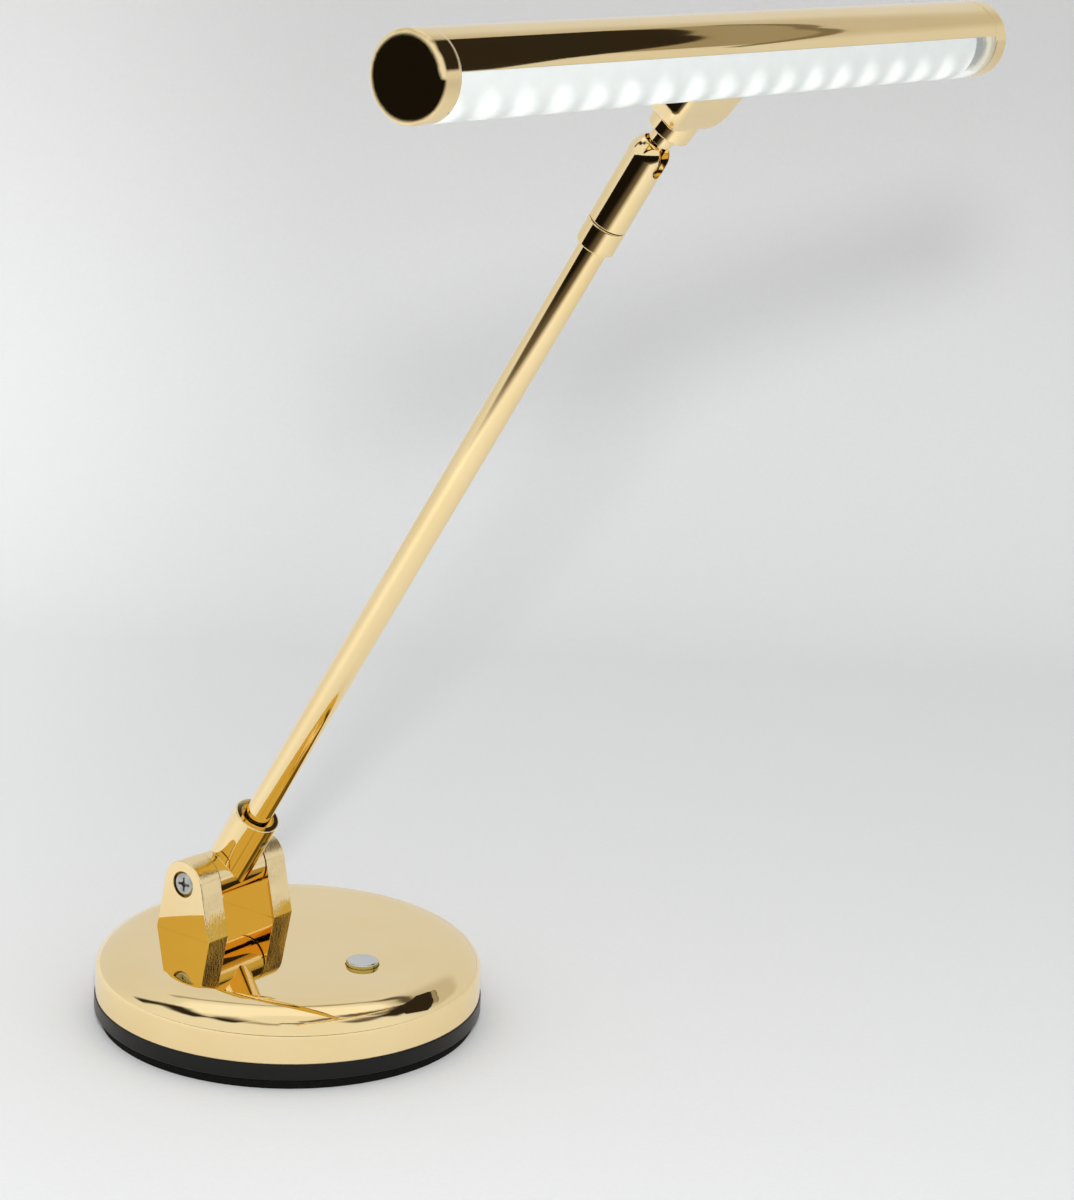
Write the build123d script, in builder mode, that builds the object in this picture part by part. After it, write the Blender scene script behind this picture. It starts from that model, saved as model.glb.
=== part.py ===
"""Piano lamp: a weighted round base, a tilting arm, a slotted ball knuckle and an LED tube head.

The origin is the centre of the base's underside, +Z is up, and +X runs along the fork's pivot
screws and the lamp tube, so the arm leans towards -Y. Every size is in millimetres or degrees.
"""
import os
from math import asin, cos, degrees, radians, sin, sqrt

from build123d import *

# ---------------------------------------------------------------- driving sizes: base
base_radius = 72.5          # pressed shell, outside
shell_wall = 1.2
shell_skirt = 9.6           # straight side of the shell
edge_width = 16.5           # rolled edge, measured towards the middle
edge_height = 9.4           # rolled edge, measured upwards
pad_thick = 4.0
pad_inset = 1.8             # the pad's rim lies this far inside the shell's side
band_height = 6.2           # black band that shows under the shell
band_proud = 0.4            # how far the band stands out past the shell
cover_floor = 2.5
cover_lip_height = 4.0      # lip that centres the shell on the cover
cover_lip_wall = 1.6
weight_inset = 12.5         # the weight's rim lies this far inside the shell's side
weight_height = 13.0
cover_screw_inset = 10.0    # the cover screws stand this far inside the weight's rim
boss_wall = 2.4
cover_thread_depth = 8.0    # how far the cover screws reach into the weight
driver_slot = 0.9           # width of the slots in the screw heads
driver_slot_depth = 1.2

# ---------------------------------------------------------------- driving sizes: button and board
button_y = -36.0
button_radius = 6.0
button_proud = 1.8
button_travel = 1.5
button_wall = 1.2
button_crown = 2.0          # thickness of the button's top
board_length = 42.0
board_width = 30.0
board_thick = 1.6
board_gap_above_floor = 5.9
switch_side = 12.0
switch_height = 4.0
plunger_radius = 2.6
plunger_height = 6.5        # from the bottom of its pocket to its tip
spring_wire = 0.6
button_guide_wall = 3.0
button_flange_proud = 1.3
button_flange_thick = 1.2
guide_height = 2.4
button_edge_round = 0.7
button_spring_coils = 3
spring_side_gap = 0.2
plunger_rest_gap = 0.5      # left under the plunger when the button is pressed
switch_corner = 1.0
post_inset = 4.0            # board posts, from the board's edges
board_screw_head_radius = 2.6
board_screw_head_height = 1.4
board_screw_length = 6.0
driver_x = 13.0             # driver parts, to the left and right of the button
coil_radius = 4.0
coil_height = 5.5
chip_size = (6.0, 5.0, 2.0)
capacitor_size = (6.0, 4.5, 3.0)
pocket_margin = 1.5         # free space round the board in the weight

# ---------------------------------------------------------------- driving sizes: fork and hinge block
pivot_y = 33.0
pivot_height = 20.0         # pivot axis above the shell's top
fork_gap = 26.0             # between the two ears
ear_thick = 10.5
ear_radius = 9.2            # rounded top of an ear
ear_foot = 27.0             # width of an ear where it stands on the shell
ear_screw_spacing = 15.0
ear_screw_head_height = 3.0
ear_screw_sunk = 5.0        # depth of the screw heads' pockets in the weight
ear_thread_depth = 9.0
ear_round = 0.5
screw_head_radius = 4.75
screw_head_height = 2.6
screw_recess_depth = 2.9
cross_reach = 2.7           # half the span of the cross-shaped driver recess
cross_depth = 1.6
cross_core = 2.3            # square in the middle of the recess
cross_taper = 12.0          # draft of the recess, in degrees
screw_head_round = 1.2
pivot_screw_end_x = 4.5
groove_radius = 6.3         # ring-shaped wire groove in the hinge block's right end
groove_width = 2.8
groove_depth = 3.5
barrel_radius = 9.0
washer_thick = 0.5
arm_lean = 31.8             # arm's angle from upright
socket_radius = 8.8
socket_end = 30.0           # from the pivot axis to the socket's rim
mouth_radius = 6.4          # recess around the rod in the socket's rim
mouth_depth = 3.0
rod_seat = 10.0             # from the pivot axis to the rod's lower end
grub_at = 22.5              # from the pivot axis to the grub screw
grub_sunk = 0.4
grub_key_radius = 1.15
grub_key_depth = 1.6

# ---------------------------------------------------------------- driving sizes: rod and knuckle
rod_radius = 5.1
rod_wall = 1.0
rod_end = 308.5             # from the pivot axis
collar_overlap = 5.0        # length of the collar that sits over the rod
collar_web = 4.1            # length of the collar above the rod's end
ball_above_collar = 26.2
dome_above_ball = 2.0       # the dome is turned round a centre this far above the ball's
knuckle_radius = 6.85
knuckle_floor = 4.0
ball_radius = 5.1
dome_mouth_radius = 4.2
slot_width = 5.5
seat_height = 4.0
seat_below_ball = 3.3       # the cup's rim lies this far under the ball's centre
ball_spring_wire = 0.9
ball_spring_coils = 4.5
ball_fit = 0.1              # radial, between the ball and its socket
bolt_bore_radius = 1.8      # way for the supply wires through the swivel bolt
swivel_wall = 0.4           # between the rod's bore and the swivel bolt's thread
swivel_washer_thick = 0.6
swivel_head_height = 2.2

# ---------------------------------------------------------------- driving sizes: stem and saddle
neck_lean = 39.3            # angle of the stem and the saddle from upright
shank_radius = 2.4
stem_start = 8.4            # the following three are distances from the ball's centre
boss_start = 13.2
head_reach = 45.9
stem_radius = 4.2
spigot_radius = 3.2
spigot_length = 7.0
stem_thread_radius = 2.5
nut_flats = 8.0
nut_thick = 3.0
thread_proud = 0.8          # thread that shows above the nut
boss_radius = 7.55          # round boss that hangs from the saddle
saddle_half_length = 16.0
saddle_half_width = 7.6
saddle_drop = 27.4          # from the tube's axis to the saddle's underside
saddle_corner = 9.0         # rounding at both ends of the underside
saddle_round = 3.5          # rounding along the long edges
saddle_screw_x = 10.5
saddle_thread_depth = 7.0
saddle_head_radius = 2.8
saddle_head_thick = 1.8

# ---------------------------------------------------------------- driving sizes: lamp tube
tube_radius = 13.4
tube_wall = 1.2
tube_half_length = 150.6    # to the joint with an end cap
cap_length = 8.0
cap_face = 2.0
cap_round = 1.3
cap_spigot = 5.0
cap_spigot_wall = 1.5
window_top = -9.0           # window edges, in degrees below straight ahead
window_bottom = 81.0
cover_wall = 1.5
cover_tongue_wall = 0.8
cover_tongue_angle = 7.0
tray_depth = 4.5            # from the tube's axis to the back of the LED tray
tray_thick = 1.5
tray_end_gap = 14.6         # clear length of the tube at the right end
led_board_width = 14.0
led_board_thick = 1.2
led_count = 16
led_end_margin = 12.4       # from the tray's ends to the first and last chip's centre
led_size = 5.0
led_height = 1.6
terminal_size = (4.5, 9.0, 4.0)

# ---------------------------------------------------------------- clearances and standard parts
running_fit = 0.05          # radial, for shafts and the ball
loose_fit = 0.35            # wherever a moving piece only has to pass
seam_gap = 0.3
slip_gap = 0.1              # between pieces that are pushed together
edge_break = 0.4            # small chamfers and roundings
wire_hole_radius = 2.2
m3_radius = 1.5
m4_radius = 2.0
m5_radius = 2.5
jack_height = 15.0          # power inlet's axis above the floor
jack_radius = 4.0
jack_bore_radius = 2.75
jack_pin_radius = 1.05
jack_length = 12.0
jack_nut_radius = 4.9
jack_nut_thick = 2.2
jack_bore_depth = 10.0
jack_pin_length = 7.5
jack_flange_radius = 4.6
jack_flange_thick = 1.5
jack_gap = 13.0             # width and depth of the gap in the cover's lip

# ---------------------------------------------------------------- heights, places and planes
cover_z = pad_thick
shell_z = cover_z + band_height
edge_z = shell_z + shell_skirt
shell_top_z = edge_z + edge_height
roof_z = shell_top_z - shell_wall
weight_z = roof_z - weight_height
cover_floor_z = cover_z + cover_floor
board_z = cover_floor_z + board_gap_above_floor
board_top_z = board_z + board_thick
weight_radius = base_radius - weight_inset
cover_screw_circle = weight_radius - cover_screw_inset
pivot_z = shell_top_z + pivot_height
collar_start = rod_end - collar_overlap
collar_end = rod_end + collar_web
ball_at = collar_end + ball_above_collar
dome_at = ball_at + dome_above_ball
ear_inner_x = fork_gap / 2
ear_outer_x = ear_inner_x + ear_thick
ear_middle_x = ear_inner_x + ear_thick / 2
window_centre = (window_top + window_bottom) / 2


def leaning(angle):
    """Direction that leans the given angle from upright towards -Y."""
    return (0, -sin(radians(angle)), cos(radians(angle)))


def dipping(angle):
    """Direction that points ahead (-Y) and dips the given angle below level."""
    return (0, -cos(radians(angle)), -sin(radians(angle)))


def place(piece, name):
    """Name a finished piece and write it to its own STEP file."""
    piece.part.label = name
    export_step(piece.part, f"parts/{name}.step")


across = Plane(origin=(0, pivot_y, pivot_z), x_dir=(0, 1, 0), z_dir=(1, 0, 0))
arm = Plane(origin=(0, pivot_y, pivot_z), x_dir=(1, 0, 0), z_dir=leaning(arm_lean))
arm_section = Plane(origin=arm.origin, x_dir=(1, 0, 0), z_dir=dipping(arm_lean))
arm_axis = Axis(arm.origin, arm.z_dir)
ball_centre = arm.from_local_coords(Vector(0, 0, ball_at))
neck = Plane(origin=ball_centre, x_dir=(1, 0, 0), z_dir=leaning(neck_lean))
neck_axis = Axis(ball_centre, neck.z_dir)
tube_centre = neck.from_local_coords(Vector(0, 0, head_reach))
tube_section = Plane(origin=tube_centre, x_dir=(0, -1, 0), z_dir=(1, 0, 0))
saddle_side = Plane(origin=tube_centre, x_dir=(1, 0, 0), z_dir=dipping(neck_lean))
saddle_plane = Plane(origin=tube_centre, x_dir=(1, 0, 0), z_dir=leaning(neck_lean))
window_plane = Plane(origin=tube_centre, x_dir=(1, 0, 0), z_dir=dipping(window_centre))

os.makedirs("parts", exist_ok=True)

# ================================================================ base
# Foam pad that keeps the lamp from sliding on the piano.
with BuildPart() as base_pad:
    with BuildSketch():
        Circle(base_radius - pad_inset)
    extrude(amount=pad_thick)
    chamfer(base_pad.edges().group_by(Axis.Z)[-1], length=edge_break)
place(base_pad, "base_pad")

cover_boss_radius = m4_radius + boss_wall
post_x = board_length / 2 - post_inset
post_y = board_width / 2 - post_inset
board_post_spots = [(side * post_x, button_y + along * post_y) for side in (-1, 1) for along in (-1, 1)]
upwards = (Align.CENTER, Align.CENTER, Align.MIN)
downwards = (Align.CENTER, Align.CENTER, Align.MAX)

# Black moulded cover: the band under the shell, a centring lip, screw bosses and board posts.
with BuildPart() as base_cover:
    with BuildSketch(Plane.XY.offset(cover_z)):
        Circle(base_radius + band_proud)
    extrude(amount=band_height)
    with BuildSketch(Plane.XY.offset(shell_z)):
        Circle(base_radius - shell_wall - running_fit)
    extrude(amount=cover_lip_height)
    with BuildSketch(Plane.XY.offset(cover_floor_z)):
        Circle(base_radius - shell_wall - running_fit - cover_lip_wall)
    extrude(amount=shell_z + cover_lip_height - cover_floor_z, mode=Mode.SUBTRACT)
    fillet(base_cover.edges().filter_by(GeomType.CIRCLE).group_by(SortBy.RADIUS)[-1], radius=1.5 * edge_break)
    with BuildSketch(Plane.XY.offset(cover_floor_z)):
        with PolarLocations(cover_screw_circle, 4, start_angle=45):
            Circle(cover_boss_radius)
    extrude(amount=weight_z - cover_floor_z)
    with BuildSketch(Plane.XY.offset(cover_floor_z)):
        with Locations(*board_post_spots):
            Circle(m3_radius + boss_wall / 2)
    extrude(amount=board_gap_above_floor)
    with BuildSketch(Plane.XY.offset(weight_z)):
        with PolarLocations(cover_screw_circle, 4, start_angle=45):
            Circle(m4_radius)
    extrude(amount=cover_z - weight_z, mode=Mode.SUBTRACT)
    with BuildSketch(Plane.XY.offset(board_z)):
        with Locations(*board_post_spots):
            Circle(m3_radius)
    extrude(amount=-board_gap_above_floor, mode=Mode.SUBTRACT)
    # countersinks for the cover screws, and a gap in the lip for the power inlet
    with PolarLocations(cover_screw_circle, 4, start_angle=45):
        with Locations((0, 0, cover_z)):
            Cone(2 * m4_radius, m4_radius, m4_radius, align=upwards, mode=Mode.SUBTRACT)
    with Locations((0, base_radius - shell_wall, shell_z)):
        Box(jack_gap, jack_gap, 2 * cover_lip_height, align=upwards, mode=Mode.SUBTRACT)
place(base_cover, "base_cover")

# Countersunk screws that hold the cover to the weight.
with BuildPart() as cover_screws:
    with PolarLocations(cover_screw_circle, 4, start_angle=45):
        with Locations((0, 0, cover_z)):
            Cone(2 * m4_radius, m4_radius, m4_radius, align=upwards)
            Cylinder(m4_radius, weight_z - cover_z + cover_thread_depth, align=upwards)
            Box(2 * m4_radius, driver_slot, driver_slot_depth, align=upwards, mode=Mode.SUBTRACT)
            Box(driver_slot, 2 * m4_radius, driver_slot_depth, align=upwards, mode=Mode.SUBTRACT)
place(cover_screws, "cover_screws")

ear_screw_spots = [
    (side * ear_middle_x, pivot_y + along * ear_screw_spacing / 2) for side in (-1, 1) for along in (-1, 1)
]
ear_screw_head_z = weight_z + ear_screw_sunk
pocket_half_width = board_length / 2 + pocket_margin
pocket_rear_y = button_y + board_width / 2 + pocket_margin

# Cast-iron disc under the shell's roof, cut away over the control board.
with BuildPart() as base_weight:
    with BuildSketch(Plane.XY.offset(weight_z)):
        Circle(weight_radius)
        with Locations((0, -weight_radius)):
            Rectangle(2 * pocket_half_width, 2 * (weight_radius + pocket_rear_y), mode=Mode.SUBTRACT)
    extrude(amount=weight_height)
    # bevelled so that it clears the shell's rolled edge
    top_rim = base_weight.edges().group_by(Axis.Z)[-1].filter_by(GeomType.CIRCLE)
    chamfer(top_rim, length=edge_width - weight_inset)
    with BuildSketch(Plane.XY.offset(weight_z)):
        with Locations(*ear_screw_spots):
            Circle(m4_radius)
        with Locations((ear_middle_x, pivot_y)):
            Circle(wire_hole_radius)
    extrude(amount=weight_height, mode=Mode.SUBTRACT)
    with BuildSketch(Plane.XY.offset(weight_z)):
        with Locations(*ear_screw_spots):
            Circle(2 * m4_radius + loose_fit)
    extrude(amount=ear_screw_head_z - weight_z, mode=Mode.SUBTRACT)
    with BuildSketch(Plane.XY.offset(weight_z)):
        with PolarLocations(cover_screw_circle, 4, start_angle=45):
            Circle(m4_radius)
    extrude(amount=cover_thread_depth, mode=Mode.SUBTRACT)
place(base_weight, "base_weight")

# Gold-plated pressed shell with a rolled edge.
with BuildPart() as base_shell:
    with BuildSketch(Plane.XZ):
        with BuildLine():
            flat = base_radius - edge_width
            Polyline((0, roof_z), (0, shell_top_z), (flat, shell_top_z))
            EllipticalCenterArc((flat, edge_z), edge_width, edge_height, 0, arc_size=90)
            rim = base_radius - shell_wall
            Polyline((base_radius, edge_z), (base_radius, shell_z), (rim, shell_z), (rim, edge_z))
            inner_width = edge_width - shell_wall
            EllipticalCenterArc((flat, edge_z), inner_width, edge_height - shell_wall, 0, arc_size=90)
            Line((flat, roof_z), (0, roof_z))
        make_face()
    revolve(axis=Axis.Z)
    with BuildSketch(Plane.XY.offset(roof_z)):
        with Locations((0, button_y)):
            Circle(button_radius + loose_fit)
        with Locations(*ear_screw_spots):
            Circle(m4_radius)
        with Locations((ear_middle_x, pivot_y)):
            Circle(wire_hole_radius)
    extrude(amount=shell_wall, mode=Mode.SUBTRACT)
    with BuildSketch(Plane.XZ.offset(-base_radius)):
        with Locations((0, jack_height)):
            Circle(jack_radius)
    extrude(amount=2 * shell_wall, mode=Mode.SUBTRACT)
place(base_shell, "base_shell")

# Power inlet in the shell's rear: a threaded barrel with a centre pin.
jack_back_y = base_radius + jack_flange_thick
with BuildPart() as power_inlet:
    with BuildSketch(Plane.XZ.offset(-jack_back_y)):
        with Locations((0, jack_height)):
            Circle(jack_flange_radius)
    extrude(amount=jack_flange_thick)
    with BuildSketch(Plane.XZ.offset(-base_radius)):
        with Locations((0, jack_height)):
            Circle(jack_radius)
    extrude(amount=jack_length)
    chamfer(power_inlet.edges().group_by(Axis.Y)[-1], length=edge_break)
    with BuildSketch(Plane.XZ.offset(-jack_back_y)):
        with Locations((0, jack_height)):
            Circle(jack_bore_radius)
    extrude(amount=jack_bore_depth, mode=Mode.SUBTRACT)
    with BuildSketch(Plane.XZ.offset(jack_bore_depth - jack_back_y)):
        with Locations((0, jack_height)):
            Circle(jack_pin_radius)
    extrude(amount=-jack_pin_length)
place(power_inlet, "power_inlet")

inlet_nut_y = sqrt((base_radius - shell_wall) ** 2 - jack_nut_radius ** 2)
with BuildPart() as inlet_nut:
    with BuildSketch(Plane.XZ.offset(-inlet_nut_y)):
        with Locations((0, jack_height)):
            RegularPolygon(jack_nut_radius, 6)
            Circle(jack_radius, mode=Mode.SUBTRACT)
    extrude(amount=jack_nut_thick)
place(inlet_nut, "inlet_nut")

# ================================================================ control board and button
with BuildPart() as control_board:
    with BuildSketch(Plane.XY.offset(board_z)):
        with Locations((0, button_y)):
            Rectangle(board_length, board_width)
        with Locations(*board_post_spots):
            Circle(m3_radius, mode=Mode.SUBTRACT)
    extrude(amount=board_thick)
place(control_board, "control_board")

with BuildPart() as board_screws:
    for spot in board_post_spots:
        with Locations((*spot, board_top_z)):
            Cylinder(board_screw_head_radius, board_screw_head_height, align=upwards)
            Cylinder(m3_radius, board_screw_length, align=downwards)
            Box(2 * m3_radius, driver_slot, board_screw_head_height, align=upwards, mode=Mode.SUBTRACT)
place(board_screws, "board_screws")

# Driver parts on the board: a coil, a capacitor and a chip.
with BuildPart() as driver_parts:
    with Locations((-driver_x, button_y, board_top_z)):
        Cylinder(coil_radius, coil_height, align=upwards)
    with Locations((driver_x, button_y + chip_size[1] / 2, board_top_z)):
        Box(*chip_size, align=upwards)
    with Locations((driver_x, button_y - capacitor_size[1], board_top_z)):
        Box(*capacitor_size, align=upwards)
place(driver_parts, "driver_parts")

switch_top_z = board_top_z + switch_height
plunger_z = board_top_z + button_travel + plunger_rest_gap
plunger_top_z = plunger_z + plunger_height
with BuildPart() as switch_body:
    with BuildSketch(Plane.XY.offset(board_top_z)):
        with Locations((0, button_y)):
            RectangleRounded(switch_side, switch_side, switch_corner)
            Circle(plunger_radius + running_fit, mode=Mode.SUBTRACT)
    extrude(amount=switch_height)
place(switch_body, "switch_body")

with BuildPart() as switch_plunger:
    with Locations((0, button_y, plunger_z)):
        Cylinder(plunger_radius, plunger_height, align=upwards)
place(switch_plunger, "switch_plunger")

guide_z = roof_z - guide_height
button_flange_z = guide_z - button_flange_thick
button_flange_radius = button_radius + button_flange_proud
button_top_z = shell_top_z + button_proud

# Collar under the roof that the button slides in.
with BuildPart() as button_guide:
    with BuildSketch(Plane.XY.offset(guide_z)):
        with Locations((0, button_y)):
            Circle(button_radius + button_guide_wall)
            Circle(button_radius + running_fit, mode=Mode.SUBTRACT)
    extrude(amount=guide_height)
place(button_guide, "button_guide")

# Chromed button: a cup with a flange that the guide holds back and a core that presses the switch.
with BuildPart() as push_button:
    with BuildSketch(Plane.XY.offset(button_flange_z)):
        with Locations((0, button_y)):
            Circle(button_radius)
    extrude(amount=button_top_z - button_flange_z)
    fillet(push_button.edges().group_by(Axis.Z)[-1], radius=button_edge_round)
    with BuildSketch(Plane.XY.offset(button_flange_z)):
        with Locations((0, button_y)):
            Circle(button_radius - button_wall)
            Circle(plunger_radius, mode=Mode.SUBTRACT)
    extrude(amount=button_top_z - button_crown - button_flange_z, mode=Mode.SUBTRACT)
    with BuildSketch(Plane.XY.offset(button_flange_z)):
        with Locations((0, button_y)):
            Circle(button_flange_radius)
            Circle(button_radius - button_wall, mode=Mode.SUBTRACT)
    extrude(amount=button_flange_thick)
    with BuildSketch(Plane.XY.offset(plunger_top_z)):
        with Locations((0, button_y)):
            Circle(plunger_radius)
    extrude(amount=button_flange_z - plunger_top_z)
place(push_button, "push_button")

# Return spring between the switch and the button's flange.
button_spring_height = button_flange_z - switch_top_z - spring_wire
button_spring_radius = button_radius - spring_wire / 2 - spring_side_gap
with BuildPart() as button_spring:
    with BuildLine():
        coil_foot = (0, button_y, switch_top_z + spring_wire / 2)
        coil_pitch = button_spring_height / button_spring_coils
        button_coil = Helix(coil_pitch, button_spring_height, button_spring_radius, coil_foot)
    with BuildSketch(Plane(origin=button_coil @ 0, z_dir=button_coil % 0)):
        Circle(spring_wire / 2)
    sweep(is_frenet=True)
place(button_spring, "button_spring")

# ================================================================ fork
screw_recess_radius = screw_head_radius + loose_fit


def ear(side):
    """One cast ear of the fork: a tapered plate with a rounded top and a screw recess outside."""
    with BuildPart() as piece:
        with BuildSketch(across.offset(side * ear_inner_x)):
            with BuildLine():
                CenterArc((0, 0), ear_radius, 0, 360)
                Line((-ear_foot / 2, -pivot_height), (ear_foot / 2, -pivot_height))
            make_hull()
        extrude(amount=side * ear_thick)
        outer_face = piece.faces().sort_by(Axis.X)[-1 if side > 0 else 0]
        outline = outer_face.edges().filter_by(lambda edge: edge.center().Z > shell_top_z + ear_round)
        fillet(outline, radius=ear_round)
        with BuildSketch(across.offset(side * ear_outer_x)):
            Circle(screw_recess_radius)
        extrude(amount=-side * screw_recess_depth, mode=Mode.SUBTRACT)
        with BuildSketch(across.offset(side * ear_inner_x)):
            Circle(m5_radius + running_fit)
        extrude(amount=side * ear_thick, mode=Mode.SUBTRACT)
        with BuildSketch(Plane.XY.offset(shell_top_z)):
            with Locations(*[spot for spot in ear_screw_spots if spot[0] * side > 0]):
                Circle(m4_radius)
        extrude(amount=ear_thread_depth, mode=Mode.SUBTRACT)
        if side > 0:
            # the supply wires climb inside this ear and cross into the hinge block
            with BuildSketch(Plane.XY.offset(shell_top_z)):
                with Locations((ear_middle_x, pivot_y)):
                    Circle(wire_hole_radius)
            extrude(amount=pivot_height - groove_radius + wire_hole_radius, mode=Mode.SUBTRACT)
            with BuildSketch(across.offset(ear_inner_x)):
                with Locations((0, -groove_radius)):
                    Circle(groove_width / 2)
            extrude(amount=ear_thick / 2, mode=Mode.SUBTRACT)
    return piece


left_ear = ear(-1)
right_ear = ear(1)
place(left_ear, "left_ear")
place(right_ear, "right_ear")

# Pan-head screws that clamp ears, shell and weight together from below.
with BuildPart() as ear_screws:
    for spot in ear_screw_spots:
        with Locations((*spot, ear_screw_head_z)):
            Cylinder(2 * m4_radius, ear_screw_head_height, align=downwards)
            Cylinder(m4_radius, shell_top_z + ear_thread_depth - ear_screw_head_z, align=upwards)
        with Locations((*spot, ear_screw_head_z - ear_screw_head_height)):
            Box(2 * m4_radius, driver_slot, driver_slot_depth, align=upwards, mode=Mode.SUBTRACT)
            Box(driver_slot, 2 * m4_radius, driver_slot_depth, align=upwards, mode=Mode.SUBTRACT)
place(ear_screws, "ear_screws")

# ================================================================ arm: hinge block, rod and collar
block_half = fork_gap / 2 - washer_thick

# Cast hinge block: a barrel between the ears with the rod's socket growing out of it.
with BuildPart() as hinge_block:
    with BuildSketch(across.offset(-block_half)):
        Circle(barrel_radius)
    extrude(amount=2 * block_half)
    with BuildSketch(arm):
        Circle(socket_radius)
    extrude(amount=socket_end)
    fillet(hinge_block.edges().sort_by(arm_axis)[-1], radius=ear_round)
    with BuildSketch(arm.offset(socket_end - mouth_depth)):
        Circle(mouth_radius)
    extrude(amount=mouth_depth, mode=Mode.SUBTRACT)
    with BuildSketch(arm.offset(rod_seat)):
        Circle(rod_radius)
    extrude(amount=socket_end - rod_seat, mode=Mode.SUBTRACT)
    with BuildSketch(arm.offset(-wire_hole_radius)):
        Circle(wire_hole_radius)
    extrude(amount=rod_seat + wire_hole_radius, mode=Mode.SUBTRACT)
    for side in (-1, 1):
        with BuildSketch(across.offset(side * block_half)):
            Circle(m5_radius)
        extrude(amount=-side * (block_half - pivot_screw_end_x), mode=Mode.SUBTRACT)
    # groove for the supply wires, with a hole from it to the rod's socket
    with BuildSketch(across.offset(block_half)):
        Circle(groove_radius + groove_width / 2)
        Circle(groove_radius - groove_width / 2, mode=Mode.SUBTRACT)
    extrude(amount=-groove_depth, mode=Mode.SUBTRACT)
    with BuildSketch(across):
        with Locations(Rotation(0, 0, arm_lean) * Location((0, groove_radius))):
            Circle(groove_width / 2)
    extrude(amount=block_half, mode=Mode.SUBTRACT)
    with BuildSketch(arm_section):
        with Locations((0, grub_at)):
            Circle(m4_radius)
    extrude(amount=socket_radius, mode=Mode.SUBTRACT)
place(hinge_block, "hinge_block")

# Fibre washers that give the hinge its drag.
with BuildPart() as friction_washers:
    for side in (-1, 1):
        with BuildSketch(across.offset(side * block_half)):
            Circle(groove_radius - groove_width / 2 - slip_gap)
            Circle(m5_radius, mode=Mode.SUBTRACT)
        extrude(amount=side * washer_thick)
place(friction_washers, "friction_washers")


def pivot_screw(side):
    """One cross-head pivot screw, its head sunk in the ear's recess on the given side."""
    seat = (side * (ear_outer_x - screw_recess_depth), pivot_y, pivot_z)
    recess_floor = Plane(origin=seat, x_dir=(0, 0, 1), z_dir=(side, 0, 0))
    with BuildPart() as piece:
        with BuildSketch(recess_floor):
            Circle(screw_head_radius)
        extrude(amount=screw_head_height)
        fillet(piece.edges().sort_by(Axis((0, 0, 0), recess_floor.z_dir))[-1], radius=screw_head_round)
        with BuildSketch(recess_floor):
            Circle(m5_radius)
        extrude(amount=-(ear_outer_x - screw_recess_depth - pivot_screw_end_x))
        with BuildSketch(recess_floor.offset(screw_head_height)):
            Rectangle(2 * cross_reach, driver_slot)
            Rectangle(driver_slot, 2 * cross_reach)
            Rectangle(cross_core, cross_core, rotation=45)
        extrude(amount=-cross_depth, taper=cross_taper, mode=Mode.SUBTRACT)
    return piece.part


# Cross-head pivot screws: they turn with the block inside the ears.
with BuildPart() as pivot_screws:
    add([pivot_screw(side) for side in (-1, 1)])
place(pivot_screws, "pivot_screws")

# Hexagon-socket grub screw that clamps the rod.
with BuildPart() as grub_screw:
    with BuildSketch(arm_section.offset(rod_radius)):
        with Locations((0, grub_at)):
            Circle(m4_radius)
    extrude(amount=socket_radius - rod_radius - grub_sunk)
    with BuildSketch(arm_section.offset(socket_radius - grub_sunk)):
        with Locations((0, grub_at)):
            RegularPolygon(grub_key_radius, 6)
    extrude(amount=-grub_key_depth, mode=Mode.SUBTRACT)
place(grub_screw, "grub_screw")

with BuildPart() as rod:
    with BuildSketch(arm.offset(rod_seat)):
        Circle(rod_radius)
        Circle(rod_radius - rod_wall, mode=Mode.SUBTRACT)
    extrude(amount=rod_end - rod_seat)
place(rod, "rod")

swivel_shank_radius = rod_radius - rod_wall - swivel_wall

# Collar on the rod's upper end; the swivel bolt screws into it.
with BuildPart() as rod_collar:
    with BuildSketch(arm.offset(collar_start)):
        Circle(knuckle_radius)
    extrude(amount=collar_end - collar_start)
    fillet(rod_collar.edges(), radius=edge_break)
    with BuildSketch(arm.offset(collar_start)):
        Circle(rod_radius)
    extrude(amount=rod_end - collar_start, mode=Mode.SUBTRACT)
    with BuildSketch(arm.offset(rod_end)):
        Circle(swivel_shank_radius)
    extrude(amount=collar_end - rod_end, mode=Mode.SUBTRACT)
place(rod_collar, "rod_collar")

knuckle_start = collar_end + seam_gap
knuckle_floor_end = knuckle_start + knuckle_floor
swivel_head_start = knuckle_floor_end + swivel_washer_thick
cavity_radius = ball_radius + ball_fit

# Hollow bolt that the knuckle turns on.
with BuildPart() as swivel_bolt:
    with BuildSketch(arm.offset(rod_end)):
        Circle(swivel_shank_radius)
    extrude(amount=swivel_head_start - rod_end)
    with BuildSketch(arm.offset(swivel_head_start)):
        Circle(cavity_radius - loose_fit)
    extrude(amount=swivel_head_height)
    with BuildSketch(arm.offset(rod_end)):
        Circle(bolt_bore_radius)
    extrude(amount=swivel_head_start + swivel_head_height - rod_end, mode=Mode.SUBTRACT)
place(swivel_bolt, "swivel_bolt")

with BuildPart() as swivel_washer:
    with BuildSketch(arm.offset(knuckle_floor_end)):
        Circle(cavity_radius - loose_fit)
        Circle(swivel_shank_radius, mode=Mode.SUBTRACT)
    extrude(amount=swivel_washer_thick)
place(swivel_washer, "swivel_washer")

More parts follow.
